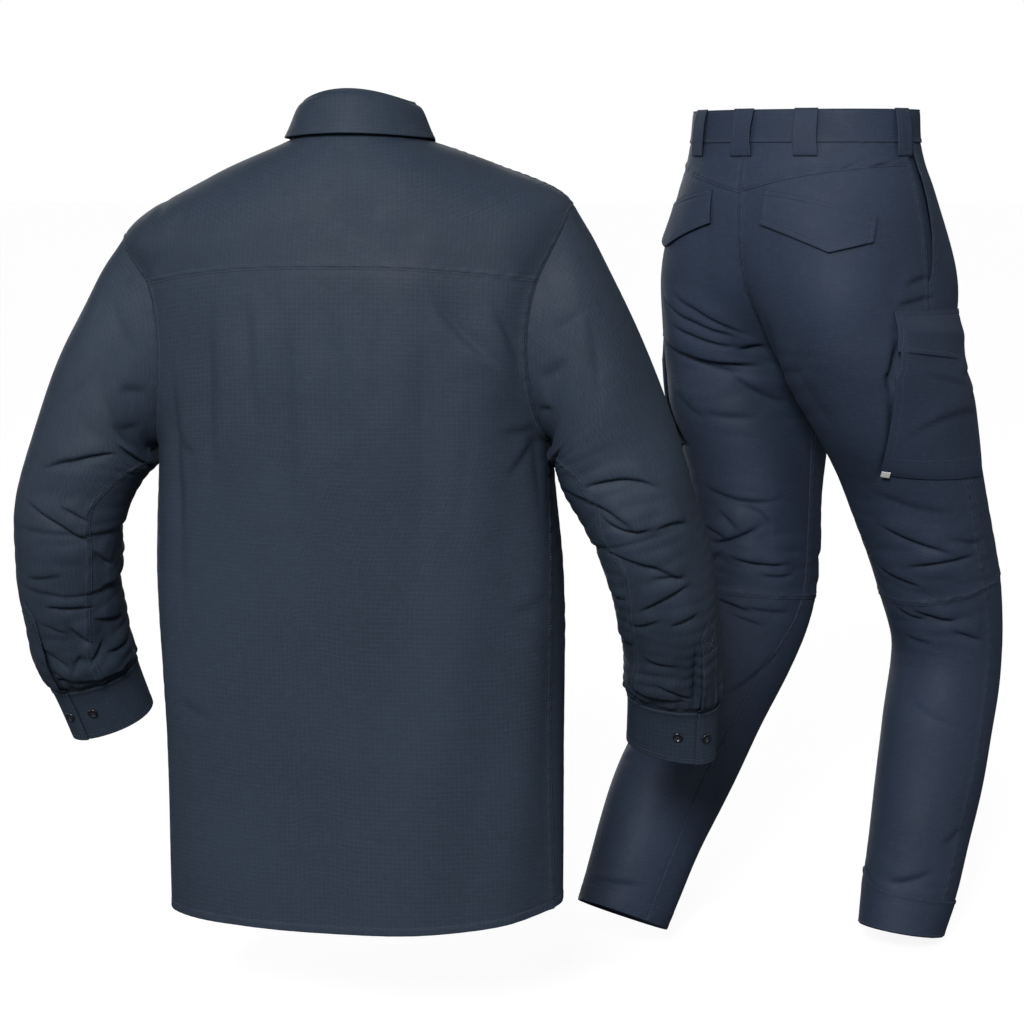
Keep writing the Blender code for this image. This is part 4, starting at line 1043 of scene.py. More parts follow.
def ripstop(name):
    # thick threads both ways at every pitch, a fine weave, cloudy dye and slightly worn gloss
    look = looks[name]
    made = Nodes(name)
    spot = made.add("ShaderNodeTexCoord").outputs["Object"]
    weft = made.add("ShaderNodeUVMap", {"uv_map": "UVMap"}).outputs[0]
    grain = made.add("ShaderNodeSeparateXYZ", Vector=weft)
    lines = []
    for i in (0, 1):
        wave = made.math("PINGPONG", grain.outputs[i], looks["pitch"] / 2)
        lines.append(made.band(wave, 1.0, 0.0, 0.3 * looks["line"], 1.7 * looks["line"]))
    grid = made.math("MAXIMUM", *lines)
    patchy = made.math("MULTIPLY", grid, made.band(made.noise(spot, 60.0), 0.35, 1.0, 0.35, 0.62))
    cloud = made.band(made.noise(spot, 7.0, 4.0), 0.0, 1.0, 0.25, 0.75)
    weave = made.noise(spot, 700.0, 3.0, 0.7)
    dark = tuple(0.90 * c for c in look["base"])
    pale = tuple(1.12 * c for c in look["base"])
    dyed = made.mix(cloud, dark, pale)
    flecks = []
    for scale in ((75.0, 900.0, 1.0), (1100.0, 60.0, 1.0)):
        run = made.add("ShaderNodeMapping", Vector=weft, Scale=scale).outputs[0]
        flecks.append(made.noise(run, 1.0, 2.0))
    slub = made.math("MAXIMUM", made.band(flecks[0], 0.0, 0.34, 0.52, 0.74),
                     made.band(flecks[1], 0.0, 0.20, 0.54, 0.76))
    coarse = made.math("ADD", slub, made.band(weave, 0.0, 0.22, 0.3, 0.7))
    specks = made.mix(coarse, dyed, tuple(look["light"] * 1.3 * c for c in look["base"]))
    lit = tuple(look["light"] * c for c in look["base"])
    colour = made.mix(made.math("MULTIPLY", patchy, look["lines"]), specks, lit)
    gloss = looks["rough"]
    rough = made.band(made.noise(spot, 18.0), gloss - 0.05, gloss + 0.06, 0.3, 0.7)
    fine = made.bump(weave, 0.25, 0.0002)
    ribs = made.bump(grid, 0.35, 0.0002, fine)
    made.surface(Base_Color=colour, Roughness=rough, Normal=ribs, Sheen_Weight=looks["sheen"],
                 Sheen_Roughness=0.45, Sheen_Tint=(0.55, 0.66, 0.85, 1.0), Specular_IOR_Level=0.26)
    return made.material


def plainFinish(name, base, lighter, rough, scale, bump, coat=0.0):
    # one colour broken by a fine noise in colour, gloss and height
    made = Nodes(name)
    spot = made.add("ShaderNodeTexCoord").outputs["Object"]
    grainy = made.noise(spot, scale, 3.0)
    colour = made.mix(made.band(grainy, 0.0, 1.0, 0.3, 0.7), base, tuple(lighter * c for c in base))
    gloss = made.band(made.noise(spot, scale / 3), rough - 0.04, rough + 0.05, 0.3, 0.7)
    made.surface(Base_Color=colour, Roughness=gloss, Normal=made.bump(grainy, 0.3, bump),
                 Coat_Weight=coat, Coat_Roughness=0.08)
    return made.material


finishes = {
    "shirt_cloth": ripstop("shirt_cloth"),
    "trouser_cloth": ripstop("trouser_cloth"),
    "button_plastic": plainFinish("button_plastic", looks["button"], 1.6, 0.22, 240.0, 0.00004,
                                  coat=0.5),
    "label_white": plainFinish("label_white", looks["label"], 1.12, 0.75, 900.0, 0.0001),
    "thread": plainFinish("sewing_thread", looks["thread"], 1.3, 0.50, 1200.0, 0.0001),
}


# ---- shirt ----
shirtMake = {
    "yokeTurn": 67.5,            # where the yoke seam meets the armhole
    "placketHalf": 0.0175,
    "underLap": 0.0021,          # how far in a lapped-under edge lies
    "patchLift": 0.0021,         # from a panel to what is sewn on it
    "overlap": 26.0,             # degrees that a cuff laps over its other end
    "buttonDrops": np.linspace(0.125, 0.755, 7),
    "buttonRadius": 0.00575,
    "buttonThick": 0.0026,
    "placketStitch": 0.0055,
    "collarStitch": 0.0055,
    "hemStitch": 0.0085,
    "placketReach": 0.118,       # how far the sleeve placket runs up from its cuff
    "placketHalves": (0.8, 14.0),        # degrees, at its tip and below it
    "gape": 0.0045,              # how far its free edge stands off
    # ends of the stitch rows under its tip, as fractions across and down
    "placketBox": ((0.1, 0.32, 0.9, 0.32), (0.1, 0.15, 0.9, 0.15), (0.1, 0.15, 0.9, 0.32),
                   (0.9, 0.15, 0.1, 0.32)),
}


def evenDown(drop, top, bottom):
    # level at a fraction of the way down, in equal metres
    levels = np.linspace(top - 0.1, bottom + 0.1, 600)
    drops = drop(levels)
    start, end = np.interp([top, bottom], levels, drops)
    return lambda b: np.interp(start + (end - start) * b, drops, levels)


def bodyDrop(level):
    # metres down the middle of the back
    return -shirtTable.read(level)["backZ"]


def outerEdge(side, level, limb):
    # angle at which a panel ends: shoulder seam, then armhole, then side seam
    tip, pit = shirtForm["tipLevel"], shirtForm["pitLevel"]
    seam = 90.0 + shirtForm["shoulderSeamLean"] * np.clip(1.0 - level / tip, 0.0, 1.0)
    swing = shirtForm["sideSeamSwing"][side] * ease(level, pit, pit + 1.2)
    return seam + swing + limb * armholeShare(level)


def centreAngle(level, x):
    # angle of the line that runs down the front at x from its middle
    ring = shirtTable.read(level)
    half = np.where(x > 0, ring["right"], ring["left"])
    return 180.0 - np.sign(x) * np.degrees(np.arcsin((np.abs(x) / half) ** (ring["square"] / 2)))


def backPlace(top, bottom):
    levelAt = evenDown(bodyDrop, top, bottom)

    def place(a, b):
        level = levelAt(b)
        left = -outerEdge("left", level, -shirtForm["armholeBack"])
        right = outerEdge("right", level, -shirtForm["armholeBack"])
        return left + (right - left) * a, level
    return place


def makeBack():
    # from one armhole and side seam to the other, cut at the yoke seam
    seamLevel = float(armholePlace("right", shirtMake["yokeTurn"])[1])
    panel("shirt_yoke", body, backPlace(0.0, seamLevel),
          (felled, felled, under, edged("low", 0.0016, 0.0066)), step="body")
    panel("shirt_back", body, backPlace(seamLevel, shirtForm["hemLevel"]),
          (felled, felled, under, edged("hem", shirtMake["hemStitch"])), step="body")


def makeFronts():
    # each front runs from its armhole and side seam to the middle, in equal metres down
    half = shirtMake["placketHalf"]
    levelAt = evenDown(lambda level: -shirtTable.read(level)["frontZ"], 0.0, shirtForm["hemLevel"])
    hem = edged("hem", shirtMake["hemStitch"])

    def leftPlace(a, b):
        level = levelAt(b)
        outer = -outerEdge("left", level, shirtForm["armholeFront"])
        inner = centreAngle(level, -half) - 360.0
        return inner + (outer - inner) * a, level

    def rightPlace(a, b):
        level = levelAt(b)
        outer = outerEdge("right", level, shirtForm["armholeFront"])
        inner = centreAngle(level, -0.012 + 0.0 * level)
        return outer + (inner - outer) * a, level

    def underPlacket(a, b, turn, level):
        x = ringPoint(shirtTable.read(level), turn)[..., 0]
        return -shirtMake["underLap"] * (1 - ease(x, half - 0.001, half + 0.006)) * (turn > 90.0)

    def placketPlace(a, b):
        level = levelAt(b)
        # just off the middle, where the angle's side would be undecided
        way = np.where(np.abs(a - 0.5) < 1e-9, 0.4999, a)
        return centreAngle(level, half - 2 * half * way), level

    panel("shirt_front_left", body, leftPlace, (under, under, under, hem), step="plain")
    panel("shirt_front_right", body, rightPlace, (under, free, under, hem), step="plain",
          out=underPlacket)
    stitched = edged("over", shirtMake["placketStitch"])
    panel("shirt_placket", body, placketPlace, (stitched, stitched, under, hem), step="body")
    for i, drop in enumerate(shirtMake["buttonDrops"]):
        level = np.interp(drop, -shirtTable.values[:, 3], shirtTable.keys)
        button(f"front_button_{i + 2}", body, 180.0, level, 0.0011, "shirt")
        buttonhole(body, 180.0, level, 0.0010)


def makeCollar():
    # the stand rings the neck, and the leaf rolls over it and falls outside
    def standPlace(a, b):
        # it runs on a little way below the neck seam
        return -187.0 + 375.0 * a, -0.10 + 1.10 * b

    def standOut(a, b, turn, level):
        return -shirtMake["underLap"] * ease(turn, 163.0, 172.0)

    def leafPlace(a, b):
        row = -0.9 + 3.9 * b
        return (173.0 - 5.0 * np.maximum(row, 0.0)) * (2 * a - 1), row

    panel("collar_stand", stand, standPlace,
          (edged("free", 0.0030), free, edged("over", 0.0018), free), wall="doubled", out=standOut)
    hem = edged("hem", shirtMake["collarStitch"])
    panel("collar_leaf", leaf, leafPlace, (hem, hem, free, hem), wall="doubled")
    button("front_button_1", stand, 180.0, 0.45, 0.0011, "shirt")


def makeSleeve(side):
    # once round the arm from the underarm seam, and from the armhole down to the cuff
    form = sleeveForm[side]
    seam = Table(("along", "turn"), form["seam"])

    def place(a, b):
        along = form["cuffTop"] * b
        return seam.read(along)["turn"] + 360.0 * a, along

    panel(f"sleeve_{side}", sleeves[side], place, (felled, under, under, under), step="sleeve",
          sink={"top": 0.75, "bottom": 0.35})


def makeCuff(side):
    # the cuff laps over itself at the opening, with the placket above it
    form = sleeveForm[side]
    surface = arms[side]
    opening, reach = form["opening"], shirtMake["overlap"] / 2

    def place(a, b):
        along = form["cuffTop"] + (form["cuffEnd"] - form["cuffTop"]) * b
        return opening - reach + (360.0 + 2 * reach) * a, along

    def out(a, b, turn, level):
        start = opening + reach
        return shirtMake["underLap"] * (1 - ease(turn, start + 4.0, start + 40.0))

    hem = edged("hem", 0.0020, 0.0060)
    panel(f"cuff_{side}", surface, place, (hem, free, edged("over", 0.0018), hem), wall="doubled",
          out=out)
    middle = (form["cuffTop"] + form["cuffEnd"]) / 2
    for i, (turn, lift) in enumerate(zip(form["buttons"], (shirtMake["underLap"], 0.0))):
        button(f"cuff_button_{side}_{i + 1}", surface, turn, middle, lift + 0.0011, "shirt")
    top = form["cuffTop"] - shirtMake["placketReach"]

    def placketPlace(a, b):
        along = top + shirtMake["placketReach"] * b
        tip, wide = shirtMake["placketHalves"]
        half = tip + (wide - tip) * np.clip((along - top) / 0.015, 0.0, 1.0)
        return opening + half * (2 * a - 1), along

    def placketOut(a, b, turn, level):
        gape = shirtMake["gape"] * ease(b, 0.34, 0.62) * (1 - ease(b, 0.86, 1.0))
        return shirtMake["patchLift"] * 0.6 + (0.0006 + gape) * (1 - ease(a, 0.0, 0.9))

    panel(f"sleeve_placket_{side}", sleeves[side], placketPlace,
          (edged("free", 0.0016), edged("hem", 0.0016), free, under), out=placketOut)
    # a stitched box with a cross under its tip
    for a0, b0, a1, b1 in shirtMake["placketBox"]:
        a, b = np.linspace(a0, a1, 12), np.linspace(b0, b1, 12)
        turn, along = placketPlace(a, b)
        sewOn("shirt", sleeves[side], turn, along, placketOut(a, b, turn, along) + 0.0006)


# ---- buttons and threads ----
buttonForm = {
    "turns": 40,
    # radius and height of the turned profile, as parts of the button's own
    "profile": ((0.0, -1.0), (0.80, -1.0), (0.97, -0.55), (1.0, -0.1), (0.97, 0.45), (0.88, 0.85),
                (0.78, 1.0), (0.68, 0.85), (0.60, 0.45), (0.50, 0.25), (0.42, 0.2), (0.34, 0.2),
                (0.26, 0.2), (0.18, 0.2), (0.10, 0.2), (0.0, 0.2)),
    "holeAt": 0.27,
    "holeRadius": 0.10,
    "holeDeep": 0.9,
}


def button(node, surface, turn, place, out, garment):
    # a profile turned round the surface's normal, dished inside its rim, with four pits for thread
    radius, thick = shirtMake["buttonRadius"], shirtMake["buttonThick"]
    spot = np.array([float(turn)]), np.array([float(place)])
    normal, low = surface.frame(*spot)
    centre = surface.points(*spot, np.array([out + thick / 2]))[0]
    up, down = normal[0], low[0]
    right = np.cross(down, up)
    profile = np.array(buttonForm["profile"])
    angle = np.linspace(0.0, 2 * math.pi, buttonForm["turns"], endpoint=False)
    r = np.clip(profile[:, :1], 0.0, None) + 0.0 * angle
    x, y = r * np.cos(angle), r * np.sin(angle)
    height = profile[:, 1:] + 0.0 * angle
    at = buttonForm["holeAt"] / math.sqrt(2)
    pit = np.minimum(np.hypot(np.abs(x) - at, np.abs(y) - at) / buttonForm["holeRadius"], 4.0)
    inDish = (height > 0.15) * (r < 0.55)
    height = height - buttonForm["holeDeep"] * (1 - ease(pit, 0.55, 1.25)) * inDish
    grid = (centre + (x * radius)[..., None] * right + (y * radius)[..., None] * down
            + (height * thick / 2)[..., None] * up)
    rings = grid[1:-1]
    count = buttonForm["turns"]
    vertices = np.concatenate([grid[0, :1], rings.reshape(-1, 3), grid[-1, :1]])
    ring = 1 + np.arange(len(rings) * count).reshape(len(rings), count)
    following = np.roll(ring, -1, axis=1)
    sides = np.stack([ring[:-1], following[:-1], following[1:], ring[1:]], -1).reshape(-1, 4)
    ends = [[0, int(q), int(p)] for p, q in zip(ring[0], following[0])]
    ends += [[len(vertices) - 1, int(p), int(q)] for p, q in zip(ring[-1], following[-1])]
    register(meshPiece(node + "_turned", vertices, sides.tolist() + ends), node, "button_plastic")
    for side in (-1.0, 1.0):
        run = np.linspace(-1.0, 1.0, 3)[:, None]
        path = centre + right * at * radius * side + down * run * at * radius * 1.05
        path = path + up * thick * 0.12
        sew(garment, path, np.repeat(up[None], 3, 0), 0.0002, pitch=0.0021)


def sewOn(garment, surface, turn, place, out, pitch=None):
    # a row of stitches along turns and places of a surface, out from it
    turn, place = np.broadcast_arrays(np.asarray(turn, float), np.asarray(place, float))
    normal, low = surface.frame(turn, place)
    sew(garment, surface.points(turn, place, np.broadcast_to(out, turn.shape)), normal, 0.0, pitch)


def buttonhole(surface, turn, level, out):
    # two close rows of thread up and down the placket behind a button
    steps = np.linspace(-0.0085, 0.0085, 8)
    scale = 0.01 / np.linalg.norm(surface.point(turn, level + 0.01) - surface.point(turn, level))
    for side in (-1.0, 1.0):
        sewOn("shirt", surface, turn + side * 0.45, level + steps * scale, out + 0.0009, 0.0014)


def makeThreads(garment, name):
    # each stitch is a bar that tapers to both ends: two end points and four round its middle
    centre, along, normal, size = (np.concatenate(column) for column in zip(*stitches[garment]))
    across = np.cross(along, normal)
    across /= np.maximum(np.linalg.norm(across, axis=1, keepdims=True), 1e-9)
    up = np.cross(across, along)
    wide, tall = thread["width"] / 2, thread["height"]
    shape = ((-0.5, 0, -0.4), (0, 1, 0), (0, 0, 1), (0, -1, 0), (0, 0, -0.6), (0.5, 0, -0.4))
    t, w, h = np.array(shape, float).T
    vertices = (centre[:, None] + (size[:, None] * t)[..., None] * along[:, None]
                + (wide * w)[None, :, None] * across[:, None]
                + (tall * h)[None, :, None] * up[:, None])
    corners = [(1 + k, 1 + (k + 1) % 4) for k in range(4)]
    faces = [face for p, q in corners for face in ((0, p, q), (5, q, p))]
    faces = (np.array(faces)[None] + 6 * np.arange(len(centre))[:, None, None]).reshape(-1, 3)
    piece = meshPiece(name, vertices.reshape(-1, 3), faces.tolist())
    register(piece, None, garmentSlots[garment], "thread")
    print(name, len(centre), "stitches")


# ---- trousers ----
trouserMake = {
    "yokeSide": 1.40,
    "yokeBack": 2.05,
    "mouthTop": 192.0,           # where a hand pocket's mouth starts at the band
    "mouthEnd": 183.0,
    "mouthLevel": 3.8,
    "mouthGape": 0.0030,
    "facing": {"start": 178.5, "past": 3.5, "end": 4.0, "in": 0.0026},
    "hemStitch": 0.020,
    "waistButton": 0.42,
    "waistLift": 0.0004,
}
flapForm = {
    "start": 23.0,
    "width": 108.0,
    "top": (1.98, 0.55),         # level at its start and how far it falls
    "way": (0.0, 0.6, 1.0),      # its pointed lower edge
    "bottom": (2.70, 3.28, 3.06),
    "arcs": ((0.20, 0.72), (0.34, 0.80)),
    "lift": 0.0018,
    "stand": 0.0022,             # how much more its free edge stands off
    "wave": 0.0006,
}
loopForm = {
    "angles": (0.0, 32.0, -32.0, 86.0, -86.0, 142.0, -142.0),
    "width": 0.026,
    "waistRadius": 0.132,
    "top": -0.02,
    "length": 1.18,
    "lift": 0.0023,
    "stand": 0.0040,
    "bars": (0.045, 0.070, 0.925, 0.950),
}
flyForm = {"start": 336.0, "width": 21.0, "top": 0.84, "length": 3.21, "lift": 0.0016,
           "stitchTop": 0.87, "stitchLength": 3.53, "stitchStart": 332.0, "stitchSweep": 22.0}
hemBandForm = {
    "top": 14.32,
    "bottom": 14.98,
    "peak": 0.28,                # how far it rises to a soft peak, where and how wide
    "peakTurn": 50.0,
    "peakWidth": 24.0,
    "lift": 0.0013,
}
stitchedFlap = (edged("hem", 0.0060), edged("hem", 0.0060), edged("free", 0.0016, 0.0072),
                edged("hem", 0.0060))


def steady(lift):
    # the same distance off the surface everywhere
    return lambda a, b, turn, level: lift + 0.0 * a


def yokeLevel(turn):
    # lower seam of the seat yoke: a V at the back seam, highest at the side
    rise = trouserMake["yokeBack"] - trouserMake["yokeSide"]
    return trouserMake["yokeSide"] + rise * np.clip(1.0 - turn / 180.0, 0.0, 1.1) ** 2.2


def mouthTurn(level):
    # where the front panel starts: the slanting pocket mouth, then the side seam
    top, end = trouserMake["mouthTop"], trouserMake["mouthEnd"]
    band, mouth = trouserForm["bandLevel"], trouserMake["mouthLevel"]
    slant = top + (end - top) * (level - band) / (mouth - band)
    below = 180.0 + (end - 180.0) * (1 - ease(level, mouth, mouth + 0.15))
    return np.where(level <= mouth, slant, below)


def inseamTurn(side, level):
    # how far round the inseam lies, easing from its thigh value to its shin value past the knee
    knee = trouserForm["knee"][side]
    above, below = trouserForm["inseam"][side]
    return above * ease(level, 6.2, 7.3) + (below - above) * ease(level, knee - 0.6, knee + 1.8)


def makeLeg(side):
    # halves from the back middle or inseam round to the side seam, and from there to the front
    surface = legs[side]
    knee = trouserForm["knee"][side]
    drop = legDrop(side)
    band = trouserForm["bandLevel"]
    mouth = trouserMake["mouthLevel"]
    thigh = evenDown(drop, 2.0, knee)
    frontLevel = evenDown(drop, band, knee)
    shin = evenDown(drop, knee, trouserForm["hemLevel"])
    facing = trouserMake["facing"]

    def legPanel(name, place, edges, out=None):
        panel(f"{name}_{side}", surface, place, edges, "trousers", step="leg", out=out)

    def yokePlace(a, b):
        turn = 180.0 * a
        return turn, band + (yokeLevel(turn) - band) * b

    def thighPlace(a, b):
        level = thigh(b)
        start = inseamTurn(side, level)
        turn = start + (180.0 - start) * a
        # the top rows bend to the yoke's seam
        return turn, level + (yokeLevel(turn) - 2.0) * (1 - ease(level, 2.0, 5.0))

    def frontPlace(a, b):
        level = frontLevel(b)
        start = mouthTurn(level)
        return start + (360.0 + inseamTurn(side, level) - start) * a, level

    def mouthOut(a, b, turn, level):
        way = np.clip((level - band) / (mouth - band), 0.0, 1.0)
        away = (turn - mouthTurn(level)) / 9.0
        gape = trouserMake["mouthGape"] * np.sin(math.pi * way) ** 0.8
        return gape * np.exp(-np.maximum(away, 0.0) ** 2) * (level < mouth + 0.1)

    def backShin(a, b):
        level = shin(b)
        start = inseamTurn(side, level)
        return start + (180.0 - start) * a, level

    def frontShin(a, b):
        level = shin(b)
        return 180.0 + (180.0 + inseamTurn(side, level)) * a, level

    def facingPlace(a, b):
        level = band + (facing["end"] - band) * b
        end = mouthTurn(np.minimum(level, mouth)) + facing["past"]
        return facing["start"] + (end - facing["start"]) * a, level

    # the right leg laps over the left at the middle seams, and its back over its front inside
    back, front = (felled, under) if side == "right" else (under, felled)
    low, high = (edged("over", 0.0016) if lap is felled else under for lap in (back, front))
    hem = edged("hem", trouserMake["hemStitch"])
    legPanel("seat_yoke", yokePlace, (back, felled, under, felled))
    legPanel("back_leg", thighPlace, (back, felled, under, felled))
    mouthEdge = edged("hem", 0.0016, 0.0075)
    legPanel("front_leg", frontPlace, (mouthEdge, front, under, felled), mouthOut)
    legPanel("back_shin", backShin, (low, felled, under, hem))
    legPanel("front_shin", frontShin, (under, high, under, hem))
    panel(f"pocket_facing_{side}", surface, facingPlace, (free, free, under, free), "trousers",
          out=steady(-facing["in"]))


def makeWaistband():
    # once round the waist, with its end tucked under its start
    def place(a, b):
        return -184.0 + 372.0 * a, trouserForm["bandLevel"] * b

    def out(a, b, turn, level):
        return -shirtMake["underLap"] * ease(turn, 162.0, 172.0) + trouserMake["waistLift"]

    panel("waistband", waist, place,
          (edged("free", 0.0020), free, edged("free", 0.0022), edged("over", 0.0020)), "trousers",
          wall="doubled", out=out)
    button("waist_button", waist, 180.0, trouserMake["waistButton"], 0.0013, "trousers")


def makeBackFlap(side):
    # below the yoke, with a lower edge that is straight on both sides of its point
    surface = legs[side]

    def place(a, b):
        turn = flapForm["start"] + flapForm["width"] * a
        turn = turn - 6.0 * a ** 2 * b + 2.5 * (1 - a) * (1 - b)
        top = flapForm["top"][0] + flapForm["top"][1] * np.clip(a, 0.0, 1.0) ** 1.3
        bottom = np.interp(a, flapForm["way"], flapForm["bottom"])
        return turn, top + (bottom - top) * b

    def out(a, b, turn, level):
        # it stands off a little more towards its free edge
        stand = flapForm["stand"] * ease(b, 0.15, 1.0)
        return flapForm["lift"] + stand + flapForm["wave"] * np.sin(7.0 * a + 2.0) * b

    panel(f"back_flap_{side}", surface, place, stitchedFlap, "trousers", wall="doubled", out=out)
    # two plain arcs cross the right one
    for low, high in flapForm["arcs"] if side == "right" else ():
        a = np.linspace(0.10, 0.88, 40)
        b = low + (high - low) * np.sin(math.pi * (a - 0.10) / 0.78 + 0.5 * (low - 0.2)) ** 2
        turn, level = place(a, b)
        sewOn("trousers", surface, turn, level, out(a, b, turn, level) + 0.0009)


def cargoPlace(way, fall):
    # turn and level on the leg at a way across and a fall down the pocket, both 0 to 1
    def mixed(name, share):
        first, last = cargoForm[name]
        return first + (last - first) * share

    swing = np.maximum(fall, 0.0) ** cargoForm["swing"]
    start, end = mixed("backTurn", swing), mixed("frontTurn", swing)
    top, bottom = mixed("top", way), mixed("bottom", way)
    return start + (end - start) * way, top + (bottom - top) * fall


cargoForm = {
    "backTurn": (151.0, 109.0),  # turn of its back edge at the top and at the bottom
    "frontTurn": (228.0, 197.0),
    "top": (4.70, 4.80),         # level of its top edge at the back and at the front
    "bottom": (7.70, 8.20),
    "swing": 3.0,
    "lift": 0.0016,
    "depth": 0.0075,
    "thin": 0.80,                # share of its depth that it loses towards the bottom
    "swell": 0.0014,
    "soft": 0.0008,
    # grid fraction across it, way across and share of its depth: a gusset stands back under its edge
    "grid": (0.0, 0.012, 0.026, 0.050, 0.064, 0.080, 0.110),
    "way": (0.180, 0.190, 0.180, 0.004, -0.002, 0.004, 0.030),
    "share": (0.0, 0.35, 0.60, 0.76, 0.92, 1.0, 1.0),
    "edge": (0.0, 0.35, 0.75, 0.95, 1.0, 1.0, 1.0),      # the same up from the bottom edge
    "flapTop": -0.075,
    "flapEnd": (0.240, 0.340),           # at the back and at the front
    "width": 0.165,
    "length": 0.185,
    # soft folds of its face, across and down
    "folds": (
        (30, 150, 150, 135, -14, 2.4, 5, 0.9),
        (95, 80, 150, 62, 4, 2.2, 6, 0.8),
        (45, 75, 110, 95, 3, 1.4, 7, 0.7),
        (110, 115, 155, 100, 3, 1.8, 5.5, 0.8),
    ),
    # rows of stitches, as fractions across and down
    "stitches": ((0.135, 0.2, 0.135, 0.9), (0.865, 0.2, 0.865, 0.9), (0.135, 0.9, 0.865, 0.9)),
    # where its tag starts and how much it takes up, across and down
    "label": {"way": (0.008, 0.066), "fall": (0.955, 0.026), "size": (0.012, 0.006),
              "wall": 0.0006, "out": 0.0038, "share": 0.30},
}


def makeCargo(side):
    # the pocket's face stands off the leg on bent gussets, and its flap hangs over its top
    surface = pockets[side]
    depth = cargoForm["depth"]
    last = cargoForm["grid"][-1]
    near = cargoForm["way"][-1]
    creases = creaseRows(cargoForm["folds"])

    def profile(a, name):
        return np.interp(np.minimum(a, 1 - a), cargoForm["grid"], cargoForm[name])

    def place(a, b):
        a, b = np.clip(a, 0.0, 1.0), np.clip(b, 0.0, 1.0)
        inner = near + (1 - 2 * near) * (a - last) / (1 - 2 * last)
        rim = profile(a, "way")
        way = np.where(a < last, rim, np.where(a > 1 - last, 1 - rim, inner))
        fall = 1 - 0.2 * last * np.maximum(1 - (1 - b) / last, 0.0)
        return cargoPlace(way, b * fall)

    def out(a, b, turn, level):
        ends = np.where(b > 0.5, profile(b, "edge"), 0.4 + 0.6 * ease(b, 0.0, 0.18))
        share = np.minimum(profile(a, "share"), ends)
        full = 0.0006 + depth * (1 - cargoForm["thin"] * ease(b, 0.40, 1.0))
        folds, _ = creased(a * cargoForm["width"], b * cargoForm["length"], creases)
        swell = cargoForm["swell"] * np.sin(math.pi * a) * np.sin(math.pi * b)
        soft = cargoForm["soft"] * np.sin(9.0 * a + 5.0 * b) * np.sin(math.pi * b)
        return cargoForm["lift"] + (full + swell + soft + folds * np.sin(math.pi * a) ** 0.3) * share

    def flapPlace(a, b):
        top, (back, front) = cargoForm["flapTop"], cargoForm["flapEnd"]
        return cargoPlace(-0.030 + 1.060 * a, top + (back + (front - back) * a - top) * b)

    def flapOut(a, b, turn, level):
        ends = 0.72 + 0.28 * ease(a, 0.0, 0.10) * ease(1 - a, -0.3, 0.5)
        stand = (depth + flapForm["stand"]) * ease(b, 0.0, 0.50) * ends
        return cargoForm["lift"] + stand + flapForm["wave"] * np.sin(6.5 * a) * b

    panel(f"cargo_pocket_{side}", surface, place, (free,) * 4, "trousers", out=out,
          withPieces=[makeLabel()] if side == "right" else ())
    for a0, b0, a1, b1 in cargoForm["stitches"]:
        a, b = np.linspace(a0, a1, 60), np.linspace(b0, b1, 60)
        turn, level = place(a, b)
        sewOn("trousers", surface, turn, level, out(a, b, turn, level) + 0.0005)
    panel(f"cargo_flap_{side}", surface, flapPlace, stitchedFlap, "trousers", wall="doubled",
          out=flapOut)


def makeLabel():
    # a bare woven tag at the pocket's lower back corner
    form, surface = cargoForm["label"], pockets["right"]
    a, b = np.meshgrid(np.linspace(0.0, 1.0, 9), np.linspace(0.0, 1.0, 7))
    (way, wide), (fall, long) = form["way"], form["fall"]
    turn, level = cargoPlace(way + wide * a, fall + long * b)
    lift = form["out"] + cargoForm["depth"] * form["share"] + 0.0002 * np.sin(5 * a)
    points, normal = surface.points(turn, level, lift), surface.frame(turn, level)[0]
    uv = np.stack([a, b], -1) * form["size"]
    shell = thickened(points, normal, form["wall"], 1, surface.hand, uv)
    piece = meshPiece("label_tag_cloth", *shell)
    register(piece, "label_tag", "label_white")
    return piece


def makeLoops():
    # short upright strips on the band; each bows off it between its two ends
    half = math.degrees(loopForm["width"] / 2 / loopForm["waistRadius"])

    def out(a, b, turn, level):
        return loopForm["lift"] + loopForm["stand"] * np.sin(math.pi * np.clip(b, 0, 1)) ** 0.7

    for i, angle in enumerate(loopForm["angles"]):
        def place(a, b, angle=angle):
            return angle + half * (2 * a - 1), loopForm["top"] + loopForm["length"] * b

        panel(f"belt_loop_{i + 1}", waist, place,
              (edged("hem", 0.0050), edged("hem", 0.0050), free, free), "trousers",
              wall="doubled", out=out)
        for b in loopForm["bars"]:
            turn, level = place(np.linspace(0.12, 0.88, 12), np.full(12, b))
            sewOn("trousers", waist, turn, level, out(0.0, b, turn, level) + 0.0009, 0.0016)


def makeFly():
    # a strip down the left front
    def place(a, b):
        return flyForm["start"] + flyForm["width"] * a, flyForm["top"] + flyForm["length"] * b

    panel("fly", legs["left"], place, (edged("hem", 0.0020), free, free, free), "trousers",
          out=steady(flyForm["lift"]))
    # a J of stitches beside it
    for shift in (0.0, 3.0):
        way = np.linspace(0.0, 1.0, 60)
        sweep = (flyForm["stitchSweep"] + shift) * ease(way, 0.72, 1.0)
        level = flyForm["stitchTop"] + (flyForm["stitchLength"] + 0.1 * shift) * way
        sewOn("trousers", legs["left"], flyForm["stitchStart"] - shift + sweep, level, 0.0007)


def makeHemBand():
    # a turned-up band once round the right hem, with a soft peak
    form = hemBandForm

    def place(a, b):
        turn = 360.0 * a
        away = (turn - form["peakTurn"]) / form["peakWidth"]
        top = form["top"] - form["peak"] * np.exp(-away ** 2)
        return turn, top + (form["bottom"] - top) * b

    panel("hem_band_right", legs["right"], place,
          (edged("over", 0.0018), under, edged("over", 0.0018), edged("hem", 0.0022)), "trousers",
          out=steady(form["lift"]))


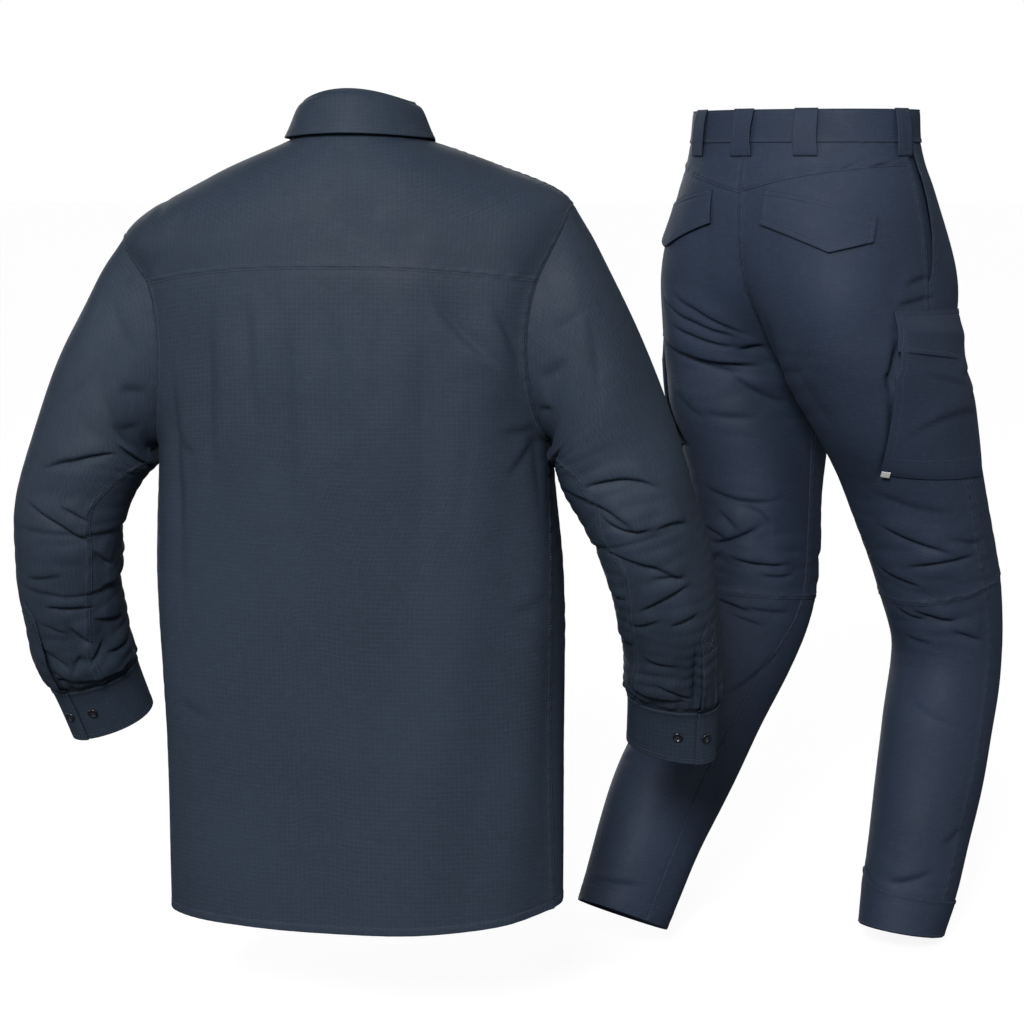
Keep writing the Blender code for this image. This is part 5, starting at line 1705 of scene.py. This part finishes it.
# ---- studio ----
studio = {
    "target": (0.163, 0.0, -0.403),
    "distance": 2.7,
    "elevation": 8.0,
    "lens": 87.33,
    "backdrop": 1.0,
    "ambient": (0.06, 0.12),     # light from below and from above
    "floor": {"base": (0.26, 0.26, 0.26), "glow": 0.90, "reach": 60.0},
    # a square softbox, near enough that the light falls off a little towards the hems
    "key": {"place": (-0.60, -4.20, 1.85), "power": 160.0, "size": 1.3},
    # name, direction that it shines from, strength and how wide its disc is (degrees)
    "suns": (
        ("left", (-0.85, -0.35, 0.30), 0.70, 60.0),
        ("fill", (0.80, -0.62, 0.05), 0.42, 40.0),
        ("rim", (0.75, 0.40, 0.80), 0.25, 40.0),
        ("far", (-0.20, 0.95, 0.20), 1.10, 50.0),
    ),
}


def placed(name, data, place, target):
    # a lamp or the camera, at a place and turned towards its target
    holder = bpy.data.objects.new(name, data)
    holder.location = place
    holder.rotation_euler = (Vector(target) - Vector(place)).to_track_quat("-Z", "Y").to_euler()
    bpy.context.scene.collection.objects.link(holder)
    return holder


def makeWorld():
    # the backdrop is white, and lights the garments less than it shows, more from above than below
    world = bpy.data.worlds.new("studio")
    world.use_nodes = True
    nodes, links = world.node_tree.nodes, world.node_tree.links
    spot, split, above, path, amount = (nodes.new("ShaderNode" + kind) for kind in (
        "TexCoord", "SeparateXYZ", "MapRange", "LightPath", "MapRange"))
    above.interpolation_type = "SMOOTHSTEP"
    low, high = studio["ambient"]
    for name, value in (("From Min", -0.3), ("From Max", 0.8), ("To Min", low), ("To Max", high)):
        above.inputs[name].default_value = value
    amount.inputs["To Max"].default_value = studio["backdrop"]
    back = nodes["Background"]
    back.inputs[0].default_value = (1.0, 1.0, 1.0, 1.0)
    links.new(spot.outputs["Generated"], split.inputs[0])
    links.new(split.outputs["Z"], above.inputs["Value"])
    links.new(above.outputs["Result"], amount.inputs["To Min"])
    links.new(path.outputs["Is Camera Ray"], amount.inputs["Value"])
    links.new(amount.outputs["Result"], back.inputs[1])
    return world


def makeFloor():
    low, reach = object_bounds()[0][2] - 0.003, studio["floor"]["reach"]
    corners = np.array([(-1, -1), (1, -1), (1, 1), (-1, 1)]) * reach
    corners = np.column_stack([corners, np.full(4, low)])
    floor = meshPiece("floor", corners, [(0, 1, 2, 3)])
    made = Nodes("pale_floor")
    made.surface(Base_Color=(*studio["floor"]["base"], 1.0), Roughness=0.9, Specular_IOR_Level=0.0,
                 Emission_Color=(1.0, 1.0, 1.0, 1.0), Emission_Strength=studio["floor"]["glow"])
    floor.data.materials.append(made.material)
    # it throws no light back up at the garments
    floor.visible_diffuse = False
    floor.visible_glossy = False


def makeStudio():
    scene = bpy.context.scene
    scene.view_settings.view_transform = "Standard"
    scene.world = makeWorld()
    makeFloor()
    lamp = bpy.data.lights.new("key", "AREA")
    lamp.energy = studio["key"]["power"]
    lamp.size = studio["key"]["size"]
    placed("key", lamp, studio["key"]["place"], studio["target"]).visible_camera = False
    for name, direction, strength, disc in studio["suns"]:
        lamp = bpy.data.lights.new(name, "SUN")
        lamp.energy = strength
        lamp.angle = math.radians(disc)
        placed(name, lamp, direction, (0.0, 0.0, 0.0))
    camera = bpy.data.cameras.new("camera")
    camera.lens = studio["lens"]
    camera.sensor_width = 36.0
    tilt = math.radians(studio["elevation"])
    back = studio["distance"] * Vector((0.0, -math.cos(tilt), math.sin(tilt)))
    scene.camera = placed("camera", camera, Vector(studio["target"]) + back, studio["target"])


makeBack()
makeFronts()
makeCollar()
for whichSide in handSign:
    makeSleeve(whichSide)
    makeCuff(whichSide)
makeThreads("shirt", "shirt_stitches")
print("shirt made")
for whichSide in handSign:
    makeLeg(whichSide)
    makeBackFlap(whichSide)
    makeCargo(whichSide)
makeWaistband()
makeLoops()
makeFly()
makeHemBand()
makeThreads("trousers", "trouser_stitches")
print("trousers made")
makeStudio()
bpy.context.view_layer.update()
